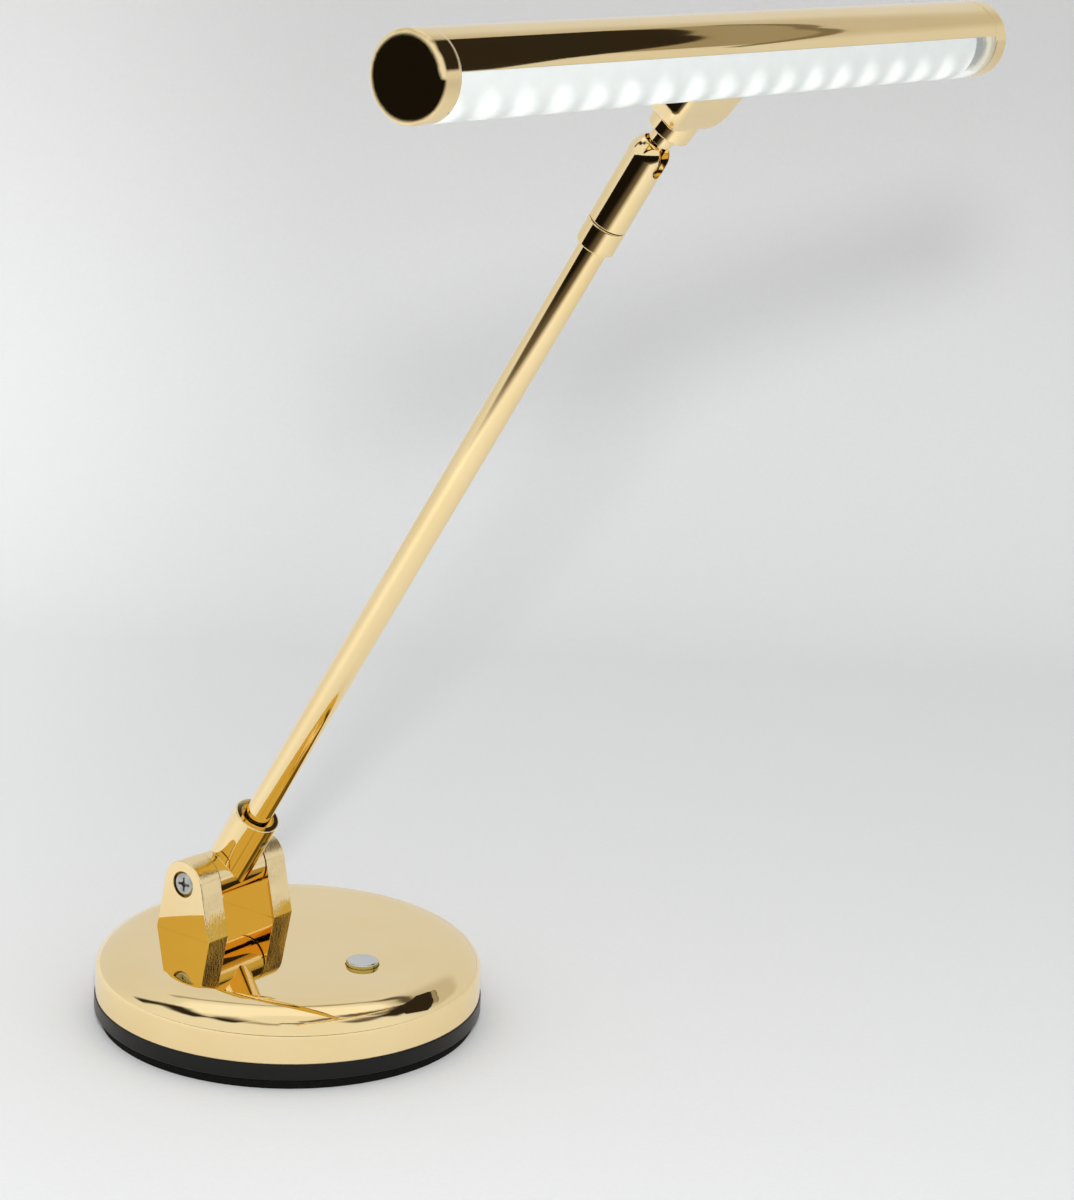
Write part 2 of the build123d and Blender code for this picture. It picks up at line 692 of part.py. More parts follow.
# ================================================================ knuckle
# Turned knuckle: domed top with the ball's mouth and a slot that lets the stem fold down.
with BuildPart() as knuckle:
    with BuildSketch(arm_section):
        with BuildLine():
            mouth_out = dome_at + sqrt(knuckle_radius ** 2 - dome_mouth_radius ** 2)
            mouth_in = ball_at + sqrt(cavity_radius ** 2 - dome_mouth_radius ** 2)
            bore = swivel_shank_radius + running_fit
            Polyline((bore, knuckle_start), (knuckle_radius, knuckle_start), (knuckle_radius, dome_at))
            CenterArc((0, dome_at), knuckle_radius, 0, degrees(asin((mouth_out - dome_at) / knuckle_radius)))
            Line((dome_mouth_radius, mouth_out), (dome_mouth_radius, mouth_in))
            CenterArc((0, ball_at), cavity_radius, 0, degrees(asin((mouth_in - ball_at) / cavity_radius)))
            Polyline((cavity_radius, ball_at), (cavity_radius, knuckle_floor_end), (bore, knuckle_floor_end))
            Line((bore, knuckle_floor_end), (bore, knuckle_start))
        make_face()
    revolve(axis=arm_axis)
    lowest_rims = knuckle.edges().filter_by(GeomType.CIRCLE).sort_by(arm_axis)[:2]
    fillet(lowest_rims.sort_by(SortBy.RADIUS)[-1], radius=edge_break)
    with BuildSketch(arm_section):
        with Locations((0, ball_at)):
            Circle(slot_width / 2)
            Rectangle(slot_width, 3 * ball_radius, align=(Align.CENTER, Align.MIN))
    extrude(amount=2 * knuckle_radius, mode=Mode.SUBTRACT)
place(knuckle, "knuckle")

# Nylon cup that the spring presses against the ball.
seat_end = ball_at - seat_below_ball
seat_start = seat_end - seat_height
with BuildPart() as ball_seat:
    with BuildSketch(arm.offset(seat_start)):
        Circle(cavity_radius - slip_gap)
        Circle(bolt_bore_radius, mode=Mode.SUBTRACT)
    extrude(amount=seat_height)
    with Locations(ball_centre):
        Sphere(cavity_radius, mode=Mode.SUBTRACT)
place(ball_seat, "ball_seat")

ball_spring_start = swivel_head_start + swivel_head_height
ball_spring_height = seat_start - ball_spring_start - ball_spring_wire
ball_spring_radius = cavity_radius - loose_fit - ball_spring_wire / 2
with BuildPart() as ball_spring:
    with BuildLine():
        coil_foot = arm.from_local_coords(Vector(0, 0, ball_spring_start + ball_spring_wire / 2))
        coil_pitch = ball_spring_height / ball_spring_coils
        ball_coil = Helix(coil_pitch, ball_spring_height, ball_spring_radius, coil_foot, arm.z_dir)
    with BuildSketch(Plane(origin=ball_coil @ 0, z_dir=ball_coil % 0)):
        Circle(ball_spring_wire / 2)
    sweep(is_frenet=True)
place(ball_spring, "ball_spring")

# ================================================================ ball stem
spigot_end = boss_start + spigot_length
stem_end = spigot_end + nut_thick + thread_proud
with BuildPart() as ball_stem:
    with Locations(ball_centre):
        Sphere(ball_radius)
    with BuildSketch(neck):
        Circle(shank_radius)
    extrude(amount=stem_start)
    with BuildSketch(neck.offset(stem_start)):
        Circle(stem_radius)
    extrude(amount=boss_start - stem_start)
    with BuildSketch(neck.offset(boss_start)):
        Circle(spigot_radius)
    extrude(amount=spigot_length)
    with BuildSketch(neck.offset(spigot_end)):
        Circle(stem_thread_radius)
    extrude(amount=stem_end - spigot_end)
    with BuildSketch(neck.offset(-ball_radius)):
        Circle(m3_radius)
    extrude(amount=ball_radius + stem_end, mode=Mode.SUBTRACT)
place(ball_stem, "ball_stem")

with BuildPart() as stem_nut:
    with BuildSketch(neck.offset(spigot_end)):
        RegularPolygon(nut_flats / 2, 6, major_radius=False)
        Circle(stem_thread_radius, mode=Mode.SUBTRACT)
    extrude(amount=nut_thick)
place(stem_nut, "stem_nut")

# ================================================================ saddle
saddle_width_axis = Axis(tube_centre, saddle_side.z_dir)

# Cast saddle: its hollow top carries the tube and a round boss below takes the stem.
with BuildPart() as saddle:
    with BuildSketch(saddle_side):
        with Locations((0, -saddle_drop)):
            Rectangle(2 * saddle_half_length, saddle_drop, align=(Align.CENTER, Align.MIN))
    extrude(amount=saddle_half_width, both=True)
    lowest_edges = saddle.edges().group_by(neck_axis)[0]
    fillet(lowest_edges.filter_by(saddle_width_axis), radius=saddle_corner)
    top_edges = saddle.edges().group_by(neck_axis)[-1]
    side_faces = saddle.faces().sort_by(saddle_width_axis)
    side_edges = side_faces[0].edges() + side_faces[-1].edges()
    fillet([edge for edge in side_edges if edge not in top_edges], radius=saddle_round)
    with BuildSketch(neck.offset(boss_start)):
        Circle(boss_radius)
    extrude(amount=head_reach - tube_radius - boss_start)
    fillet(saddle.edges().sort_by(neck_axis)[0], radius=edge_break)
    with BuildSketch(tube_section):
        Circle(tube_radius)
    extrude(amount=2 * saddle_half_length, both=True, mode=Mode.SUBTRACT)
    with BuildSketch(neck.offset(boss_start)):
        Circle(spigot_radius + running_fit)
    extrude(amount=spigot_length, mode=Mode.SUBTRACT)
    with BuildSketch(neck.offset(spigot_end)):
        Circle(nut_flats / sqrt(3) + loose_fit)
    extrude(amount=head_reach - spigot_end, mode=Mode.SUBTRACT)
    with BuildSketch(saddle_plane.offset(-tube_radius - saddle_thread_depth)):
        with Locations((-saddle_screw_x, 0), (saddle_screw_x, 0)):
            Circle(m3_radius)
    extrude(amount=tube_radius, mode=Mode.SUBTRACT)
place(saddle, "saddle")

saddle_head_at = sqrt((tube_radius - tube_wall) ** 2 - saddle_head_radius ** 2)
with BuildPart() as saddle_screws:
    with BuildSketch(saddle_plane.offset(-saddle_head_at)):
        with Locations((-saddle_screw_x, 0), (saddle_screw_x, 0)):
            Circle(saddle_head_radius)
    extrude(amount=saddle_head_thick)
    with BuildSketch(saddle_plane.offset(-saddle_head_at)):
        with Locations((-saddle_screw_x, 0), (saddle_screw_x, 0)):
            Circle(m3_radius)
    extrude(amount=-(tube_radius + saddle_thread_depth - saddle_head_at))
place(saddle_screws, "saddle_screws")

# ================================================================ lamp tube
# Gold tube with the light window cut out of its front underside.
tube_inner = tube_radius - tube_wall
with BuildPart() as lamp_housing:
    with BuildSketch(tube_section.offset(-tube_half_length)):
        with BuildLine():
            window_span = window_bottom - window_top
            outer = CenterArc((0, 0), tube_radius, window_bottom, 360 - window_span)
            inner = CenterArc((0, 0), tube_inner, window_bottom, 360 - window_span)
            Line(outer @ 0, inner @ 0)
            Line(outer @ 1, inner @ 1)
        make_face()
    extrude(amount=2 * tube_half_length)
    with BuildSketch(saddle_plane):
        Circle(wire_hole_radius)
        with Locations((-saddle_screw_x, 0), (saddle_screw_x, 0)):
            Circle(m3_radius)
    extrude(amount=-2 * tube_radius, mode=Mode.SUBTRACT)
place(lamp_housing, "lamp_housing")

# Clear cover that fills the window; its tongues snap in behind the tube's edges.
edge_play = degrees(slip_gap / tube_radius)
with BuildPart() as light_cover:
    with BuildSketch(tube_section.offset(-tube_half_length)):
        with BuildLine():
            pane_start = window_top + edge_play
            pane_span = window_span - 2 * edge_play
            pane_out = CenterArc((0, 0), tube_radius, pane_start, pane_span)
            pane_in = CenterArc((0, 0), tube_radius - cover_wall, pane_start, pane_span)
            Line(pane_out @ 0, pane_in @ 0)
            Line(pane_out @ 1, pane_in @ 1)
        make_face()
        with BuildLine():
            tongue_out_radius = tube_inner - slip_gap
            tongue_in_radius = tongue_out_radius - cover_tongue_wall
            tongue_span = window_span + 2 * cover_tongue_angle
            tongue_out = CenterArc((0, 0), tongue_out_radius, window_top - cover_tongue_angle, tongue_span)
            tongue_in = CenterArc((0, 0), tongue_in_radius, window_top - cover_tongue_angle, tongue_span)
            Line(tongue_out @ 0, tongue_in @ 0)
            Line(tongue_out @ 1, tongue_in @ 1)
        make_face()
    extrude(amount=2 * tube_half_length)
place(light_cover, "light_cover")

# Aluminium tray across the tube: it carries the LED board and takes its heat to the wall.
tray_start_x = seam_gap + cap_spigot - tube_half_length
tray_end_x = tube_half_length - tray_end_gap
tray_length = tray_end_x - tray_start_x
tray_middle_x = (tray_start_x + tray_end_x) / 2
tray_front = tray_depth + tray_thick
with BuildPart() as led_tray:
    with BuildSketch(tube_section.offset(tray_start_x)):
        Circle(tube_inner)
        with Locations(Rotation(0, 0, window_centre) * Location((tray_depth + tray_thick / 2, 0))):
            Rectangle(tray_thick, 4 * tube_inner, mode=Mode.INTERSECT)
    extrude(amount=tray_length)
place(led_tray, "led_tray")

with BuildPart() as led_board:
    with BuildSketch(window_plane.offset(tray_front)):
        with Locations((tray_middle_x, 0)):
            Rectangle(tray_length, led_board_width)
    extrude(amount=led_board_thick)
place(led_board, "led_board")

led_pitch = (tray_length - 2 * led_end_margin) / (led_count - 1)
led_spots = [(tray_start_x + led_end_margin + number * led_pitch, 0) for number in range(led_count)]
led_base = tray_front + led_board_thick
with BuildPart() as led_chips:
    with BuildSketch(window_plane.offset(led_base)):
        with Locations(*led_spots):
            Rectangle(led_size, led_size)
    extrude(amount=led_height)
    chip_tops = led_chips.faces().group_by(Axis(tube_centre, window_plane.z_dir))[-1]
    chamfer(chip_tops.edges(), length=edge_break)
place(led_chips, "led_chips")

# Terminal at the board's end where the supply wires are joined.
with BuildPart() as wire_terminal:
    with BuildSketch(window_plane.offset(tray_depth)):
        with Locations((tray_end_x, 0)):
            Rectangle(terminal_size[0], terminal_size[1], align=(Align.MIN, Align.CENTER))
    extrude(amount=terminal_size[2])
place(wire_terminal, "wire_terminal")

cap_spigot_radius = tongue_in_radius - slip_gap


def end_cap(side):
    """Gold end cap: a flat face with a rounded rim and a short spigot inside the tube."""
    with BuildPart() as piece:
        with BuildSketch(tube_section.offset(side * tube_half_length)):
            Circle(tube_radius)
        extrude(amount=side * cap_length)
        outer_rim = piece.edges().filter_by(GeomType.CIRCLE).sort_by(Axis.X)[-1 if side > 0 else 0]
        fillet(outer_rim, radius=cap_round)
        with BuildSketch(tube_section.offset(side * (tube_half_length - cap_spigot))):
            Circle(cap_spigot_radius)
        extrude(amount=side * cap_spigot)
        with BuildSketch(tube_section.offset(side * (tube_half_length - cap_spigot))):
            Circle(cap_spigot_radius - cap_spigot_wall)
        extrude(amount=side * (cap_spigot + cap_length - cap_face), mode=Mode.SUBTRACT)
    return piece


left_cap = end_cap(-1)
right_cap = end_cap(1)
place(left_cap, "left_cap")
place(right_cap, "right_cap")
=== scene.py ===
"""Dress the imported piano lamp: finishes, LED packages, studio and camera.

The lamp stands on a weighted round base. A fork on the base carries a leaning rod, a slotted ball
knuckle at the rod's end carries the tube, and a row of LEDs shines through the tube's clear cover.
Every size is in metres unless its name says millimetres.
"""
import logging
import math
from dataclasses import dataclass, field, replace
from enum import Enum

import bpy
from bpy.types import Material, Node, NodeSocket, NodeTree, Object
from mathutils import Matrix, Vector


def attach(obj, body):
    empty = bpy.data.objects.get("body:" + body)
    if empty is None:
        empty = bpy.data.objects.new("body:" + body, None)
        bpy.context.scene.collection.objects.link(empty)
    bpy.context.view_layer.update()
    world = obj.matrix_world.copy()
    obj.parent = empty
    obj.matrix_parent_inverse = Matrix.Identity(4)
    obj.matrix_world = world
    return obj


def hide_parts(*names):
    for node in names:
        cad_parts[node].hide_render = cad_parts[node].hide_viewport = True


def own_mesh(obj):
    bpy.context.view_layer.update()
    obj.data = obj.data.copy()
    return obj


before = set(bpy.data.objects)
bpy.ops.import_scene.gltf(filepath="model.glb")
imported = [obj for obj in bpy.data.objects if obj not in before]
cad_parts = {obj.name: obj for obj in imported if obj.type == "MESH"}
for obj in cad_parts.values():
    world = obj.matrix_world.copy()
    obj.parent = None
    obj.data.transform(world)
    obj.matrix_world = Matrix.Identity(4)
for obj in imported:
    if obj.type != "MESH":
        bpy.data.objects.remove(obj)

log = logging.getLogger("piano_lamp")
MM = 0.001
Pair = tuple[float, float]
Triple = tuple[float, float, float]


# ---- small helpers
class Lay(Enum):
    """Direction in which a metal surface was worked; the marks are long along that axis."""

    EVEN = (1.0, 1.0, 1.0)
    ALONG_X = (0.02, 1.0, 1.0)
    ALONG_Z = (1.0, 1.0, 0.03)


def linear(hex_colour: str) -> tuple[float, ...]:
    """Turn an sRGB hex colour into the linear colour that the shaders work in.

    Args:
        hex_colour: Six hex digits, such as "e7ce9b".

    Returns:
        Red, green, blue and an alpha of one.
    """
    channels = [int(hex_colour[i:i + 2], 16) / 255 for i in (0, 2, 4)]
    curved = [c / 12.92 if c <= 0.04045 else ((c + 0.055) / 1.055) ** 2.4 for c in channels]
    return (*curved, 1.0)


def add_node(tree: NodeTree, kind: str, inputs: dict | None = None, **settings: object) -> Node:
    """Add one node with its settings and links.

    Args:
        tree: Node tree that gets the node.
        kind: Blender's name for the node; a shader node's goes without "ShaderNode" in front.
        inputs: Input name or number to a value, or to what feeds it: an output socket, or a node
            for that node's first output.
        settings: The node's own properties.

    Returns:
        The new node.
    """
    node = tree.nodes.new(kind if "Node" in kind else "ShaderNode" + kind)
    for name, value in settings.items():
        setattr(node, name, value)
    for name, value in (inputs or {}).items():
        if isinstance(value, Node):
            value = next(socket for socket in value.outputs if socket.enabled)
        if isinstance(value, NodeSocket):
            tree.links.new(value, node.inputs[name])
        else:
            node.inputs[name].default_value = value
    return node


def new_material(name: str) -> tuple[Material, NodeTree]:
    """Make an empty node material.

    Args:
        name: The real material and how it was worked.

    Returns:
        The material and its cleared node tree.
    """
    material = bpy.data.materials.new(name)
    material.use_nodes = True
    material.node_tree.nodes.clear()
    return material, material.node_tree


def sized(place: Node | NodeSocket, size_mm: float) -> dict[str, object]:
    """Place a pattern, and scale it so that its features are this many millimetres across."""
    return {"Vector": place, "Scale": 1.0 / (size_mm * MM)}


def between(start: float, full: float) -> dict[str, float]:
    """Name the values at which an effect starts and is full, as a Map Range node calls them."""
    return {"From Min": start, "From Max": full}


def level(azimuth: float) -> Vector:
    """Point level along an azimuth that is given in degrees."""
    turn = math.radians(azimuth)
    return Vector((math.cos(turn), math.sin(turn), 0.0))


# a noise pattern's values lie mostly between these two
NOISE_BAND = between(0.3, 0.7)
SMOOTH = {"interpolation_type": "SMOOTHSTEP"}


def enter(thing: Object) -> None:
    """Link an object into the scene."""
    bpy.context.scene.collection.objects.link(thing)


def dress(**finishes: Material) -> None:
    """Put finishes on CAD nodes and report each.

    Args:
        finishes: The node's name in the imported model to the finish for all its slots.
    """
    for node_name, finish in finishes.items():
        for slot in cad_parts[node_name].material_slots:
            slot.material = finish
        log.info("dressed %s with %s", node_name, finish.name)


# ---- LED row
class PackagePart(Enum):
    """The two things that one LED package is made of."""

    HOUSING = "led_housings"
    LENS = "led_lenses"


@dataclass(frozen=True)
class LedRow:
    """Row of LED packages on the board behind the clear cover.

    Each package is a white housing with a round funnel, and a chamfered corner marks its polarity.
    The funnel is filled with phosphor silicone. No two packages sit quite square on their pads.
    """

    count: int = 16
    start: float = -0.13290
    pitch: float = 0.01710
    centre: Triple = (0.0, -0.17460, 0.37266)
    dip: float = 36.0
    board_front: float = 7.2 * MM
    wall_radius: float = 13.4 * MM
    side: float = 5.0 * MM
    thick: float = 1.6 * MM
    corner_cut: float = 0.9 * MM
    funnel_top: float = 2.15 * MM
    funnel_foot: float = 1.75 * MM
    funnel_depth: float = 1.1 * MM
    lens_bulge: float = 0.8 * MM
    lens_sunk: float = 0.05 * MM
    misalignment: float = 1.5
    seed: int = 7
    funnel_sides: int = 32
    funnel_overshoot: float = 1.01
    lens_segments: int = 32
    lens_rings: int = 16

    def tree(self, part: PackagePart, material: Material) -> tuple[NodeTree, dict[str, float]]:
        """Make the node tree that lays the row of housings or of lenses.

        Args:
            part: Which of the package's two parts the tree lays.
            material: Finish that the tree sets on it.

        Returns:
            The tree, and the value for each of its named inputs.
        """
        tree = bpy.data.node_groups.new(part.value, "GeometryNodeTree")
        mesh_socket = {"name": "Geometry", "socket_type": "NodeSocketGeometry"}
        tree.interface.new_socket(in_out="INPUT", **mesh_socket)
        values = {
            "Pitch": self.pitch, "Side": self.side, "Thickness": self.thick,
            "Corner Cut": self.corner_cut, "Funnel Top": self.funnel_top,
            "Funnel Foot": self.funnel_foot, "Funnel Depth": self.funnel_depth,
            "Lens Bulge": self.lens_bulge, "Board Front": self.board_front,
            "Misalignment": math.radians(self.misalignment)}
        for name in values:
            tree.interface.new_socket(name=name, in_out="INPUT", socket_type="NodeSocketFloat")
        tree.interface.new_socket(in_out="OUTPUT", **mesh_socket)
        sizes = add_node(tree, "NodeGroupInput").outputs
        shape = self.housing if part is PackagePart.HOUSING else self.lens
        package = shape(tree, sizes)
        spots = add_node(tree, "GeometryNodeMeshLine", {
            "Count": self.count, "Start Location": (self.start, 0, 0)}, mode="OFFSET")
        step = add_node(tree, "CombineXYZ", {"X": sizes["Pitch"]})
        tree.links.new(step.outputs["Vector"], spots.inputs["Offset"])
        slack = add_node(tree, "Math", {0: sizes["Misalignment"], 1: -1.0}, operation="MULTIPLY")
        skew = add_node(tree, "FunctionNodeRandomValue", {
            "Min": slack, "Max": sizes["Misalignment"], "Seed": self.seed})
        skew_turn = add_node(tree, "CombineXYZ", {"Z": skew})
        laid = add_node(tree, "GeometryNodeInstanceOnPoints", {
            "Points": spots, "Instance": package, "Rotation": skew_turn})
        rise = add_node(tree, "CombineXYZ", {"Z": sizes["Board Front"]})
        raised = add_node(tree, "GeometryNodeTransform", {"Geometry": laid, "Translation": rise})
        dipped = add_node(tree, "GeometryNodeTransform", {
            "Geometry": raised, "Translation": self.centre,
            "Rotation": (math.radians(90.0 + self.dip), 0.0, 0.0)})
        solid = add_node(tree, "GeometryNodeRealizeInstances", {"Geometry": dipped})
        finished = add_node(tree, "GeometryNodeSetMaterial", {
            "Geometry": solid, "Material": material})
        add_node(tree, "NodeGroupOutput", {"Geometry": finished})
        return tree, values

    def housing(self, tree: NodeTree, sizes: bpy.types.bpy_prop_collection) -> NodeSocket:
        """Cut one housing: a block with the funnel and the polarity corner taken out.

        Args:
            tree: Tree that gets the nodes.
            sizes: The tree's named inputs.

        Returns:
            Socket that gives the housing's mesh, standing on the XY plane.
        """
        extent = add_node(tree, "CombineXYZ", {
            "X": sizes["Side"], "Y": sizes["Side"], "Z": sizes["Thickness"]})
        block = add_node(tree, "GeometryNodeMeshCube", {"Size": extent})
        half = add_node(tree, "Math", {0: sizes["Thickness"], 1: 0.5}, operation="MULTIPLY")
        middle = add_node(tree, "CombineXYZ", {"Z": half})
        standing = add_node(tree, "GeometryNodeTransform", {
            "Geometry": block, "Translation": middle})
        floor = add_node(tree, "Math", {
            0: sizes["Thickness"], 1: sizes["Funnel Depth"]}, operation="SUBTRACT")
        foot = add_node(tree, "CombineXYZ", {"Z": floor})
        depth = add_node(tree, "Math", {
            0: sizes["Funnel Depth"], 1: self.funnel_overshoot}, operation="MULTIPLY")
        cone = add_node(tree, "GeometryNodeMeshCone", {
            "Vertices": self.funnel_sides, "Radius Top": sizes["Funnel Top"],
            "Radius Bottom": sizes["Funnel Foot"], "Depth": depth})
        funnel = add_node(tree, "GeometryNodeTransform", {"Geometry": cone, "Translation": foot})
        reach = add_node(tree, "Math", {0: sizes["Side"], 1: 0.5}, operation="MULTIPLY")
        corner_place = add_node(tree, "CombineXYZ", {
            "X": reach, "Y": reach, "Z": sizes["Thickness"]})
        corner_side = add_node(tree, "Math", {
            0: sizes["Corner Cut"], 1: math.sqrt(2.0)}, operation="MULTIPLY")
        corner_extent = add_node(tree, "CombineXYZ", {
            "X": corner_side, "Y": corner_side, "Z": sizes["Thickness"]})
        corner_block = add_node(tree, "GeometryNodeMeshCube", {"Size": corner_extent})
        corner = add_node(tree, "GeometryNodeTransform", {
            "Geometry": corner_block, "Translation": corner_place,
            "Rotation": (0.0, 0.0, math.radians(45.0))})
        cut = add_node(tree, "GeometryNodeMeshBoolean", {
            "Mesh 1": standing}, operation="DIFFERENCE")
        for tool in (funnel, corner):
            tree.links.new(tool.outputs["Geometry"], cut.inputs["Mesh 2"])
        return cut.outputs["Mesh"]

    def lens(self, tree: NodeTree, sizes: bpy.types.bpy_prop_collection) -> NodeSocket:
        """Shape one lens: a flattened drop of silicone that fills the funnel.

        Args:
            tree: Tree that gets the nodes.
            sizes: The tree's named inputs.

        Returns:
            Socket that gives the lens's mesh, in the housing's place.
        """
        ball = add_node(tree, "GeometryNodeMeshUVSphere", {
            "Segments": self.lens_segments, "Rings": self.lens_rings})
        width = add_node(tree, "Math", {
            0: sizes["Funnel Foot"], 1: sizes["Funnel Top"]}, operation="ADD")
        radius = add_node(tree, "Math", {0: width, 1: 0.5}, operation="MULTIPLY")
        extent = add_node(tree, "CombineXYZ", {"X": radius, "Y": radius, "Z": sizes["Lens Bulge"]})
        crown = add_node(tree, "Math", {
            0: sizes["Thickness"], 1: sizes["Lens Bulge"]}, operation="SUBTRACT")
        sunk = add_node(tree, "Math", {0: crown, 1: self.lens_sunk}, operation="SUBTRACT")
        middle = add_node(tree, "CombineXYZ", {"Z": sunk})
        drop = add_node(tree, "GeometryNodeTransform", {
            "Geometry": ball, "Translation": middle, "Scale": extent})
        smooth = add_node(tree, "GeometryNodeSetShadeSmooth", {"Geometry": drop})
        return smooth.outputs["Geometry"]

    def build(self, part: PackagePart, material: Material) -> Object:
        """Lay the row and turn it into one plain mesh.

        Args:
            part: Which of the package's two parts is laid.
            material: Its finish.

        Returns:
            The finished piece, at the origin, with its place in its mesh.
        """
        tree, values = self.tree(part, material)
        name = part.value + "_carrier"
        carrier = bpy.data.objects.new(name, bpy.data.meshes.new(name))
        enter(carrier)
        modifier = carrier.modifiers.new("row", "NODES")
        modifier.node_group = tree
        for socket in tree.interface.items_tree:
            if socket.in_out == "INPUT" and socket.name in values:
                modifier[socket.identifier] = values[socket.name]
        bpy.context.view_layer.update()
        evaluated = carrier.evaluated_get(bpy.context.evaluated_depsgraph_get())
        mesh = bpy.data.meshes.new_from_object(evaluated)
        mesh.name = part.value
        bpy.data.objects.remove(carrier)
        bpy.data.node_groups.remove(tree)
        piece = bpy.data.objects.new(part.value, mesh)
        enter(piece)
        return piece


# ---- finishes
@dataclass(frozen=True)
class Metal:
    """A worked metal: plated, polished, turned, ground or cast.

    The colour drifts a little where the plating is thicker or the skin has toned, handling leaves
    patches of haze, the working marks follow the lay, and edges are rounded and rubbed paler.
    With edges_only, the marks are left off the faces that look along X. Each band is where its
    effect starts and where it is full: of the noise for toning and haze, of the cosine between flat
    and rounded normal for worn edges, and of how far the face looks along X for the marks.
    """

    name: str
    colour: str
    toned: str
    rubbed: str
    roughness: float
    haze: float = 0.03
    patch_mm: float = 14.0
    grain_mm: float = 0.6
    grain_depth_mm: float = 0.0004
    ripple_mm: float = 30.0
    ripple_depth_mm: float = 0.0
    lay: Lay = Lay.EVEN
    edges_only: bool = False
    edge_mm: float = 0.35
    edge_wear: float = 0.35
    edge_samples: int = 4
    toning_band: Pair = (0.35, 0.7)
    haze_band: Pair = (0.3, 0.75)
    edge_band: Pair = (0.99, 0.8)
    mark_band: Pair = (0.9, 0.6)

    def make(self) -> Material:
        """Build the metal's material.

        Returns:
            The metal, marked and worn.
        """
        material, tree = new_material(self.name)
        place = add_node(tree, "TexCoord").outputs
        grain_place = add_node(tree, "Mapping", {
            "Vector": place["Object"], "Scale": self.lay.value})
        patches = add_node(tree, "TexNoise", {
            **sized(place["Object"], self.patch_mm), "Detail": 3.0})
        grain = add_node(tree, "TexNoise", {**sized(grain_place, self.grain_mm), "Detail": 4.0})
        toning = add_node(tree, "MapRange", {"Value": patches, **between(*self.toning_band)})
        colour = add_node(tree, "Mix", {
            "Factor": toning, "A": linear(self.colour), "B": linear(self.toned)}, data_type="RGBA")
        rounded = add_node(tree, "Bevel", {"Radius": self.edge_mm * MM}, samples=self.edge_samples)
        plain = add_node(tree, "NewGeometry").outputs
        turn = add_node(tree, "VectorMath", {
            0: rounded, 1: plain["Normal"]}, operation="DOT_PRODUCT")
        edge = add_node(tree, "MapRange", {
            "Value": turn, **between(*self.edge_band), "To Max": self.edge_wear})
        worn = add_node(tree, "Mix", {
            "Factor": edge, "A": colour, "B": linear(self.rubbed)}, data_type="RGBA")
        haze = add_node(tree, "MapRange", {
            "Value": patches, **between(*self.haze_band), "To Min": self.roughness,
            "To Max": self.roughness + self.haze})
        facing = add_node(tree, "SeparateXYZ", {"Vector": place["Normal"]}).outputs
        sideways = add_node(tree, "Math", {0: facing["X"]}, operation="ABSOLUTE")
        ground = add_node(tree, "MapRange", {
            "Value": sideways, **between(*self.mark_band),
            "To Min": 0.0 if self.edges_only else 1.0})
        marks = add_node(tree, "Bump", {
            "Height": grain, "Strength": ground, "Distance": self.grain_depth_mm * MM,
            "Normal": rounded})
        ripple = add_node(tree, "TexNoise", {
            **sized(place["Object"], self.ripple_mm), "Detail": 0.0})
        waves = add_node(tree, "Bump", {
            "Height": ripple, "Strength": ground, "Distance": self.ripple_depth_mm * MM,
            "Normal": marks})
        shader = add_node(tree, "BsdfPrincipled", {
            "Base Color": worn, "Metallic": 1.0, "Roughness": haze, "Normal": waves})
        add_node(tree, "OutputMaterial", {"Surface": shader})
        return material


@dataclass(frozen=True)
class Plastic:
    """A moulded, cut or pressed non-metal with a grain of its own."""

    name: str
    colour: str
    mottle: str
    roughness: float
    spread: float = 0.08
    ior: float = 1.5
    patch_mm: float = 6.0
    grain_mm: float = 0.35
    grain_depth_mm: float = 0.01
    gloss_level: float = 0.5

    def make(self) -> Material:
        """Build the plastic's material.

        Returns:
            The plastic with its grain.
        """
        material, tree = new_material(self.name)
        place = add_node(tree, "TexCoord").outputs
        patches = add_node(tree, "TexNoise", {
            **sized(place["Object"], self.patch_mm), "Detail": 4.0})
        grain = add_node(tree, "TexNoise", {**sized(place["Object"], self.grain_mm), "Detail": 2.0})
        colour = add_node(tree, "Mix", {
            "Factor": patches, "A": linear(self.colour), "B": linear(self.mottle)},
            data_type="RGBA")
        gloss = add_node(tree, "MapRange", {
            "Value": grain, **NOISE_BAND, "To Min": self.roughness,
            "To Max": self.roughness + self.spread})
        skin = add_node(tree, "Bump", {"Height": grain, "Distance": self.grain_depth_mm * MM})
        shader = add_node(tree, "BsdfPrincipled", {
            "Base Color": colour, "Roughness": gloss, "IOR": self.ior,
            "Specular IOR Level": self.gloss_level, "Normal": skin})
        add_node(tree, "OutputMaterial", {"Surface": shader})
        return material


